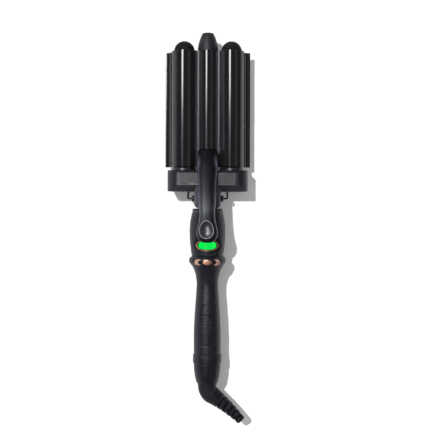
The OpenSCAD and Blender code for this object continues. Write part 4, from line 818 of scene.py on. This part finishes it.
def bailWire():
    half, drop = bail["half"], bail["drop"]
    left = [(-bail["inner"], 0, 0), (-half, 0, 0), (-half, bail["crank"], drop), (-half, bail["reach"], drop)]
    corners = left + [(-x, y, z) for x, y, z in reversed(left)]
    path = bmesh.new()
    verts = [path.verts.new(corner) for corner in corners]
    for a, b in zip(verts, verts[1:]):
        path.edges.new((a, b))
    for vert in verts[1:-1]:
        bmesh.ops.bevel(path, geom=[vert], offset=bail["bend"], offset_type="OFFSET", segments=8,
                        profile=0.5, affect="VERTICES", material=-1, clamp_overlap=True)
    curve = bpy.data.curves.new("bailPath", "CURVE")
    curve.dimensions = "3D"
    curve.bevel_depth, curve.bevel_resolution, curve.use_fill_caps = bail["wire"], 6, True
    spline = curve.splines.new("POLY")
    ends = [v for v in path.verts if len(v.link_edges) == 1]
    last, vert, points = None, min(ends, key=lambda v: v.co.x), []
    while vert is not None:
        points.append(vert.co.copy())
        following = [e.other_vert(vert) for e in vert.link_edges if e.other_vert(vert) is not last]
        last, vert = vert, following[0] if following else None
    path.free()
    spline.points.add(len(points) - 1)
    for point, place in zip(spline.points, points):
        point.co = (*place, 1)
    holder = newObject("bailPath", curve)
    depsgraph = bpy.context.evaluated_depsgraph_get()
    mesh = bpy.data.meshes.new_from_object(holder.evaluated_get(depsgraph))
    bpy.data.objects.remove(holder)
    bm = bmesh.new()
    bm.from_mesh(mesh)
    bmesh.ops.remove_doubles(bm, verts=bm.verts[:], dist=0.0005)
    for side in (-1, 1):
        roundBar(bm, bail["pin"], (side * bail["pinFrom"], 0, 0), (side * bail["pinTo"], 0, 0), 16)
    addPiece("standBail", bm, wirePaint, "bail", "stand_bail", smoothAngle=50)


def pinCaps():
    cap = {"radius": 3.4, "inner": 14.6, "outer": 17.3, "hole": 1.1}
    bm = bmesh.new()
    for side in (-1, 1):
        part = bmesh.new()
        revolve(part, [(cap["hole"], cap["inner"]), (cap["radius"], cap["inner"], 0.2),
                       (cap["radius"], cap["outer"], 0.6), (cap["hole"], cap["outer"], 0.2)], steps=48)
        turn = Matrix.Rotation(-side * pi / 2, 3, "Z")
        bmesh.ops.rotate(part, cent=(0, 0, 0), matrix=turn, verts=part.verts[:])
        bm.from_mesh(asMesh(part))
    addPiece("pinCapPair", bm, wirePaint, "frame", "pin_caps")


bailWire()
pinCaps()
print("bail and pin caps made")


handle = {"top": 14.8, "mid": 35.5, "ring": 63.8, "ringCore": 73.6, "ringEnd": 76.3, "end": 170.9,
          "bulge": 19.65, "bulgeTop": 16.8, "bulgeLow": 16.9, "wall": 2.2, "sleeve": 1.9, "core": 17.0,
          "waist": 95.0, "waistR": 11.8, "endR": 14.8, "swell": 58, "flare": 3.6, "flareLength": 18.7,
          "edge": 0.18, "screws": ((12, -32.3), (-12, -32.3), (12, -60.8), (-12, -60.8)), "screwDepth": -24}
display = {"drop": 50.9, "halfWidth": 11.3, "halfHeight": 5.15, "rim": 1.15, "recessHalfWidth": 16.0,
           "recessHalfHeight": 11.8, "recess": 1.2, "wall": 3.6, "clear": 5, "border": 2.4, "squareness": 2.6,
           "lipBelow": -4, "lipHalf": 9, "lipFrom": 0.88, "lipTo": 0.98}


def bulgeAt(drop):
    if drop < handle["mid"]:
        share = (handle["mid"] - drop) / (handle["mid"] - handle["top"])
        return handle["bulge"] - (handle["bulge"] - handle["bulgeTop"]) * share ** 2
    share = (drop - handle["mid"]) / (handle["ring"] - handle["mid"])
    return handle["bulge"] - (handle["bulge"] - handle["bulgeLow"]) * share ** 2


def gripAt(drop):
    if drop < handle["waist"]:
        return handle["waistR"] + handle["flare"] * ((handle["waist"] - drop) / handle["flareLength"]) ** 2.2
    if drop < handle["waist"] + handle["swell"]:
        rise = sin(radians(90 * (drop - handle["waist"]) / handle["swell"])) ** 1.25
        return handle["waistR"] + (handle["endR"] - handle["waistR"]) * rise
    return handle["endR"]


def outOfRecess(x, y):
    # 0 at the middle of the display's recess, 1 on its outline
    return hypot(x / display["recessHalfWidth"], (y + display["drop"]) / display["recessHalfHeight"])


def handleShells():
    top, ringY, ringEnd, sleeve = handle["top"], handle["ring"], handle["ringEnd"], handle["sleeve"]
    outer = [(bulgeAt(d), -d) for d in (top + (ringY - top) * i / 70 for i in range(71))]
    gripDrops = [ringEnd] + [ringEnd + (handle["end"] - ringEnd) * i / 24 for i in range(1, 25)]
    core = [(handle["core"], -ringY), (handle["core"], -handle["ringCore"])]
    core += [(gripAt(d) - sleeve, -d) for d in gripDrops]
    inner = [(r - handle["wall"], y) for r, y in core[::-1] + outer[::5][::-1]]
    floorR = bulgeAt(display["drop"]) - display["recess"]
    bm = bmesh.new()
    revolve(bm, outer + core + inner, steps=160)
    # dished recess round the display
    for vert in bm.verts:
        x, y, z = vert.co
        if z < 0 or -y > ringY - 0.1 or -y < top + display["clear"]:
            continue
        radius = hypot(x, z)
        if radius < bulgeAt(-y) - 0.5:
            continue
        away = outOfRecess(x, y)
        inside = (1 - away) * display["recessHalfHeight"] / display["wall"]
        share = min(max(inside, 0.0), 1.0)
        share = share * share * (3 - 2 * share)
        newRadius = radius + (min(floorR, radius) - radius) * share
        vert.co.x, vert.co.z = x * newRadius / radius, z * newRadius / radius
    whole = asMesh(bm)

    def onLowerLip(at, normal):
        low = at.z > 0 and at.y + display["drop"] < display["lipBelow"] and abs(at.x) < display["lipHalf"]
        return low and display["lipFrom"] < outOfRecess(at.x, at.y) < display["lipTo"]

    for name, node, side in (("handleFront", "handle_front_shell", 1),
                             ("handleRear", "handle_rear_shell", -1)):
        cutters = [otherHalf(side, -200, 0)]
        if side < 0:
            cutters.append(screwHoles(handle["screws"], handle["screwDepth"]))
        piece = addPiece(name, carve(whole, cutters), handlePlastic, "frame", node,
                         edge=handle["edge"], smoothAngle=34)
        # the lower lip of the display's hollow is painted lighter as a painted highlight where it catches the
        # light
        dress(piece, recessLipHighlight, onLowerLip)


def topCap():
    cap = {"inner": 10.5, "outer": 16.8, "outerTop": 16.5, "low": -14.6, "high": -11.0}
    bm = bmesh.new()
    revolve(bm, [(cap["inner"], cap["low"]), (cap["outer"], cap["low"], 0.35),
                 (cap["outerTop"], cap["high"], 1.1), (cap["inner"], cap["high"], 0.3)])
    addPiece("topCap", bm, handlePlastic, "frame", "handle_top_cap")


def wrapped(bm, radius):
    # bends a flat plate, drawn in X and Y with z as height, round the handle's axis
    for vert in bm.verts:
        x, y, z = vert.co
        vert.co.z = sqrt(max((radius + z) ** 2 - x * x, 0.0))


def ovalVerts(bm, halfX, halfY, place, segments=72):
    verts = bmesh.ops.create_circle(bm, cap_ends=False, radius=1.0, segments=segments)["verts"]
    bmesh.ops.scale(bm, vec=(halfX, halfY, 1), verts=verts)
    bmesh.ops.translate(bm, vec=place, verts=verts)
    return verts


def displayMaterial():
    # green panel with a black border and faint bars of a figure, all from the piece's own place
    material = finish("displayGlow", ((0.0, 0.5, 0.10), (0.0, 0.62, 0.13)), (0.12, 0.2), grain=(1600, 0.0),
                      mottle=300)
    tree = material.node_tree
    shader = tree.nodes["Principled BSDF"]
    maths = partial(mathNode, tree)
    mapping = tree.nodes.new("ShaderNodeMapping")
    mapping.vector_type = "TEXTURE"
    mapping.inputs["Location"].default_value = (0, (hingePin.y - display["drop"]) * 0.001, 0)
    mapping.inputs["Scale"].default_value = (display["halfWidth"] * 0.001, display["halfHeight"] * 0.001, 1)
    tree.links.new(placeOf(tree), mapping.inputs["Vector"])
    x, y, z = axesOf(tree, mapping.outputs["Vector"])
    power = display["squareness"]
    sides = [maths("POWER", maths("ABSOLUTE", axis), power) for axis in (x, y)]
    away = maths("POWER", maths("ADD", *sides), 1 / power)
    lit = maths("MULTIPLY", maths("SUBTRACT", 0.895, away), 14.0, clamp=True)

    # seven-bar figures: a top, b and c right, d bottom, e and f left, g middle, as (x, y, half x, half y)
    places = {"a": (0, 0.62, 0.1, 0.05), "g": (0, 0.05, 0.1, 0.05), "d": (0, -0.52, 0.1, 0.05),
              "b": (0.11, 0.33, 0.025, 0.24), "c": (0.11, -0.24, 0.025, 0.24),
              "f": (-0.11, 0.33, 0.025, 0.24), "e": (-0.11, -0.24, 0.025, 0.24)}
    digits = 0.0
    for centre, bars in ((-0.36, "abgcd"), (0.0, "afgcd"), (0.36, "abcdef")):
        for key in bars:
            offX, offY, halfX, halfY = places[key]
            inside = [maths("SUBTRACT", half, maths("ABSOLUTE", maths("SUBTRACT", axis, at)))
                      for axis, at, half in ((x, centre + offX, halfX), (y, offY, halfY))]
            digits = maths("MAXIMUM", maths("GREATER_THAN", maths("MINIMUM", *inside), 0.0), digits)
    shade = maths("SUBTRACT", 1.0, maths("MULTIPLY", digits, 0.34))
    glow = maths("MULTIPLY", maths("MULTIPLY", lit, shade), 0.98)
    tree.links.new(glow, shader.inputs["Emission Strength"])
    shader.inputs["Emission Color"].default_value = (0.0, 0.93, 0.085, 1)
    tree.links.new(mixOf(tree, lit, (0.006, 0.006, 0.007), (0.0, 0.02, 0.004)), shader.inputs["Base Color"])
    return material


def displayPieces():
    a, b, rim, y = display["halfWidth"], display["halfHeight"], display["rim"], -display["drop"]
    floorR = bulgeAt(display["drop"]) - display["recess"]
    # copper bezel: a rounded oval ring; rows are (grow, height)
    bm = bmesh.new()
    rows = [(0.1, 0.0), (0.1, 0.55), (0.3, 0.78), (rim * 0.5, 0.88), (rim - 0.3, 0.78), (rim, 0.5),
            (rim, 0.0)]
    rings = [ovalVerts(bm, a + grow, b + grow, (0, y, z)) for grow, z in rows]
    loft(bm, rings + [rings[0]], ends=False)
    wrapped(bm, floorR)
    addPiece("displayBezel", bm, copperTrim, "frame", "display_bezel", smoothAngle=50)
    # window with a black border, slightly crowned
    bm = bmesh.new()
    border = display["border"]
    rows = [(0.0, -1.0), (0.0, 0.42), (-0.25, 0.55), (-1.0, 0.58), (-border, 0.6)]
    rings = [ovalVerts(bm, a + grow, b + grow, (0, y, z)) for grow, z in rows]
    rings += [ovalVerts(bm, a * k, (b - border) * k / 0.78, (0, y, 0.6)) for k in (0.6, 0.4, 0.2, 0.06)]
    loft(bm, rings)
    wrapped(bm, floorR)
    addPiece("displayWindow", bm, displayMaterial(), "frame", "display_window",
             smoothAngle=50)


ring = {"profile": [(17.1, -63.8), (18.2, -63.8), (19.4, -65.0), (20.0, -66.4), (20.2, -68.2), (19.9, -69.8),
                    (18.35, -71.9), (16.8, -74.0), (15.4, -76.3)],
        "back": [(13.6, -76.3), (17.1, -73.7)], "edge": 0.16}
button = {"y": -69.1, "sideX": 9.85, "sideHalfX": 3.95, "sideHalfY": 3.3, "bite": 2.4, "biteX": 7.3,
          "powerHalfX": 5.1, "powerHalfY": 2.7, "gap": 0.25, "edge": 0.3, "low": 11.0, "holeLow": 11.5,
          "high": 30, "dome": [(17.65, -73.6), (20.2, -73.6), (20.6, -70.8), (20.65, -69.1),
                               (20.6, -67.4), (20.15, -64.6), (17.65, -64.6)]}


def buttonPlan(side, grow, low):
    # closed prism in the shape of one button, seen from the front
    bm = bmesh.new()
    high = button["high"]
    kind = "side" if side else "power"
    halfX, halfY = button[kind + "HalfX"] + grow, button[kind + "HalfY"] + grow
    loft(bm, [ovalVerts(bm, halfX, halfY, (side * button["sideX"], button["y"], z), 56) for z in (low, high)])
    if side == 0:
        return asMesh(bm)
    bite = bmesh.new()
    x, y = side * button["biteX"], button["y"]
    roundBar(bite, button["bite"] - grow, (x, y, low - 1), (x, y, high + 1), 40)
    return carve(bm, [bite])


def controlRing():
    points = curveThrough(ring["profile"][1:], 5)
    bm = bmesh.new()
    revolve(bm, [ring["profile"][0]] + points + ring["back"], steps=140)
    mesh = carve(bm, [buttonPlan(side, button["gap"], button["holeLow"]) for side in (-1, 0, 1)])
    addPiece("controlRing", mesh, ringPlastic, "frame", "control_ring", edge=ring["edge"],
             smoothAngle=40)


def buttonFaces():
    for side, name, node in ((-1, "minusButton", "minus_button"), (0, "powerButton", "power_button"),
                             (1, "plusButton", "plus_button")):
        dome = bmesh.new()
        revolve(dome, button["dome"], steps=180)
        mesh = carve(buttonPlan(side, 0.0, button["low"]), [dome], "INTERSECT")
        addPiece(name, mesh, roseButton if side else copperButton, node, node,
                 edge=button["edge"], smoothAngle=40)


def gripSleeve():
    groove = {"start": 94.4, "pitch": 10.9, "count": 7, "half": 0.34, "depth": 0.34, "floor": 0.16,
              "lead": 0.12, "leadDrop": 0.06, "clear": 0.25}
    drops = [handle["ringEnd"] + (handle["end"] - handle["ringEnd"]) * i / 90 for i in range(91)]
    places = [groove["start"] + groove["pitch"] * i for i in range(groove["count"])]
    clear = groove["half"] + groove["clear"]
    points = [(d, gripAt(d)) for d in drops if all(abs(d - g) > clear for g in places)]
    for g in places:
        for side in (-1, 1):
            half, r = side * groove["half"], gripAt(g)
            points += [(g + half + side * groove["lead"], r), (g + half, r - groove["leadDrop"]),
                       (g + side * groove["floor"], r - groove["depth"])]
    points.sort()
    inner = [(gripAt(d) - handle["sleeve"], -d) for d in reversed(drops[::6])]
    bm = bmesh.new()
    revolve(bm, [(r, -d) for d, r in points] + inner, steps=120)
    addPiece("gripSleeve", bm, gripRubber, "frame", "grip_sleeve", smoothAngle=40)


def endPieces():
    end = {"ring": 15.7, "ringLead": 15.2, "chamfer": 0.7, "ringInner": 12.0, "ringFrom": -171.0,
           "ringTo": -180.4, "cup": 14.7, "cupTaper": 2.9, "cupInner": 12.4, "cupFrom": -180.5,
           "cupLength": 21.0, "mouth": [(11.45, -202.0, 0.3), (11.2, -202.1), (11.0, -201.0), (11.0, -190.0)]}
    low, high, outer, lead = end["ringTo"], end["ringFrom"], end["ring"], end["ringLead"]
    bm = bmesh.new()
    revolve(bm, [(end["ringInner"], high), (lead, high, 0.2), (outer, high - end["chamfer"], 0.4),
                 (outer, low + end["chamfer"], 0.4), (lead, low, 0.2), (end["ringInner"], low)], steps=120)
    addPiece("endRing", bm, handlePlastic, "frame", "end_ring")
    top = end["cupFrom"]
    cup = [(end["cup"] - end["cupTaper"] * share ** 2.2, top - end["cupLength"] * share)
           for share in (i / 20 for i in range(1, 21))]
    bm = bmesh.new()
    revolve(bm, [(end["cupInner"], top), (end["cup"], top, 0.3)] + cup + end["mouth"], steps=120)
    addPiece("endCup", bm, handlePlastic, "frame", "end_cup", smoothAngle=50)


handleShells()
topCap()
displayPieces()
controlRing()
buttonFaces()
gripSleeve()
endPieces()
print("handle made")


relief = {"start": -202.6, "elbowStart": -206.0, "startR": 10.7, "sideR": 9.9, "elbowR": 11.5, "turn": 55.0,
          "tailR": 207.2, "tailTurn": 12.0, "tipR": 4.9, "ribsFrom": 0.27, "ribs": 5, "groove": 2.0,
          "ribShare": 0.74, "slits": (0.045, 0.105, 0.165), "slitHalf": 0.5, "slitDepth": 7.0, "bore": 3.0,
          "darkFrom": 0.45, "darkTo": 7.2}


def elbowPlace(a):
    r = relief["elbowR"]
    return Vector((r * (1 - cos(a)), relief["elbowStart"] - r * sin(a), 0))


def tailPlace(t):
    # centre and direction at the share t of the ribbed tail's length
    first = radians(90 - relief["turn"])
    a = first + radians(relief["tailTurn"]) * t
    end = elbowPlace(radians(relief["turn"]))
    centre = Vector((end.x + relief["tailR"] * (sin(a) - sin(first)),
                     end.y - relief["tailR"] * (cos(first) - cos(a)), 0))
    return centre, Vector((cos(a), -sin(a), 0))


def tailRadius(t):
    return relief["sideR"] - (relief["sideR"] - relief["tipR"]) * max(t, 0.0) ** 0.85


def strainRelief():
    def squareTo(centre, along, radius):
        side = Vector((-along.y, along.x, 0))
        return Matrix(((side.x * radius, 0, along.x, centre.x), (side.y * radius, 0, along.y, centre.y),
                       (0, radius, 0, centre.z), (0, 0, 0, 1)))

    stations = [(Vector((0, relief["start"], 0)), Vector((0, -1, 0)), relief["startR"])]
    for i in range(19):
        a = radians(relief["turn"] * i / 18)
        stations.append((elbowPlace(a), Vector((sin(a), -cos(a), 0)), relief["sideR"]))
    # the tail as (share of its length, how far the skin lies in)
    mm = 1.0 / (radians(relief["tailTurn"]) * relief["tailR"])
    pitch = (1 - relief["ribsFrom"]) / relief["ribs"]
    groove = relief["groove"]
    tail = [(t, 0.0) for t in (0.06, 0.12, 0.18, 0.24, relief["ribsFrom"] - 0.25 * mm)]
    for i in range(relief["ribs"]):
        low = relief["ribsFrom"] + pitch * i
        rib, end = low + pitch * (1 - relief["ribShare"]), low + pitch
        tail += [(low + 0.1 * mm, 0.16), (low + 0.35 * mm, groove), (rib - 0.35 * mm, groove),
                 (rib - 0.1 * mm, 0.16), (rib + 0.25 * mm, 0.0), ((rib + end) / 2, 0.0),
                 (end - (0.25 if i < relief["ribs"] - 1 else 0.7) * mm, 0.0)]
    tail += [(1 - 0.2 * mm, 0.25), (1.0, 0.75)]
    stations += [(*tailPlace(t), tailRadius(t) - inset) for t, inset in tail]
    bm = bmesh.new()
    loft(bm, [ringOf(bm, squareTo(*station), 48) for station in stations])
    slits = bmesh.new()
    for t in relief["slits"]:
        centre, along = tailPlace(t)
        verts = boxOf(slits, (-relief["slitHalf"], tailRadius(t) - relief["slitDepth"], -12),
                      (relief["slitHalf"], tailRadius(t) + 4, 12))
        turn = Matrix(((along.x, -along.y, 0, centre.x), (along.y, along.x, 0, centre.y),
                       (0, 0, 1, 0), (0, 0, 0, 1)))
        bmesh.ops.transform(slits, matrix=turn, verts=verts)
    bore = bmesh.new()
    tip, along = tailPlace(1.0)[0], tailPlace(0.85)[1]
    roundBar(bore, relief["bore"], tip - along * 14, tip + along * 2, 40)
    piece = addPiece("strainRelief", carve(bm, [slits, bore]), reliefRubber, "swivel", "strain_relief",
                     smoothAngle=40)
    line = [(tailPlace(i / 160)[0], tailRadius(i / 160)) for i in range(161)]

    def inGroove(at, normal):
        centre, radius = min(line, key=lambda row: (row[0] - at).length)
        depth = radius - (at - centre).length
        return at.y < relief["elbowStart"] - 8 and relief["darkFrom"] < depth < relief["darkTo"]

    dress(piece, grooveShadeRubber, inGroove)  # grooves and slits are painted darker as painted shade


strainRelief()
print("strain relief made")


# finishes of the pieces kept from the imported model
kept = {
    "fixed_heaters": ceramic, "middle_heater": ceramic, "fixed_heater_clamps": aluminium,
    "middle_heater_clamps": aluminium, "thermal_fuse": steel, "thermistor": glassBead,
    "housing_screws": darkSteel, "handle_screws": darkSteel, "foot_screws": darkSteel,
    "head_leads": redWire, "mains_leads": blueWire, "hinge_pin": steel, "torsion_spring": steel,
    "display_module": moduleWhite, "control_board": boardGreen, "power_board": boardGreen,
    "tactile_switches": componentBlack, "power_components": componentBlack,
    "contact_plate": componentBlack, "contact_pins": brass, "slip_rings": brass,
    "swivel_hub": ringPlastic, "barrel_end_plug": capPlastic, "lever_chassis": darkSteel}

for node, material in kept.items():
    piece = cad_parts[node]
    if not piece.material_slots:
        piece.data.materials.append(material)
    for slot in piece.material_slots:
        slot.material = material
print("kept pieces finished")

bpy.context.view_layer.update()
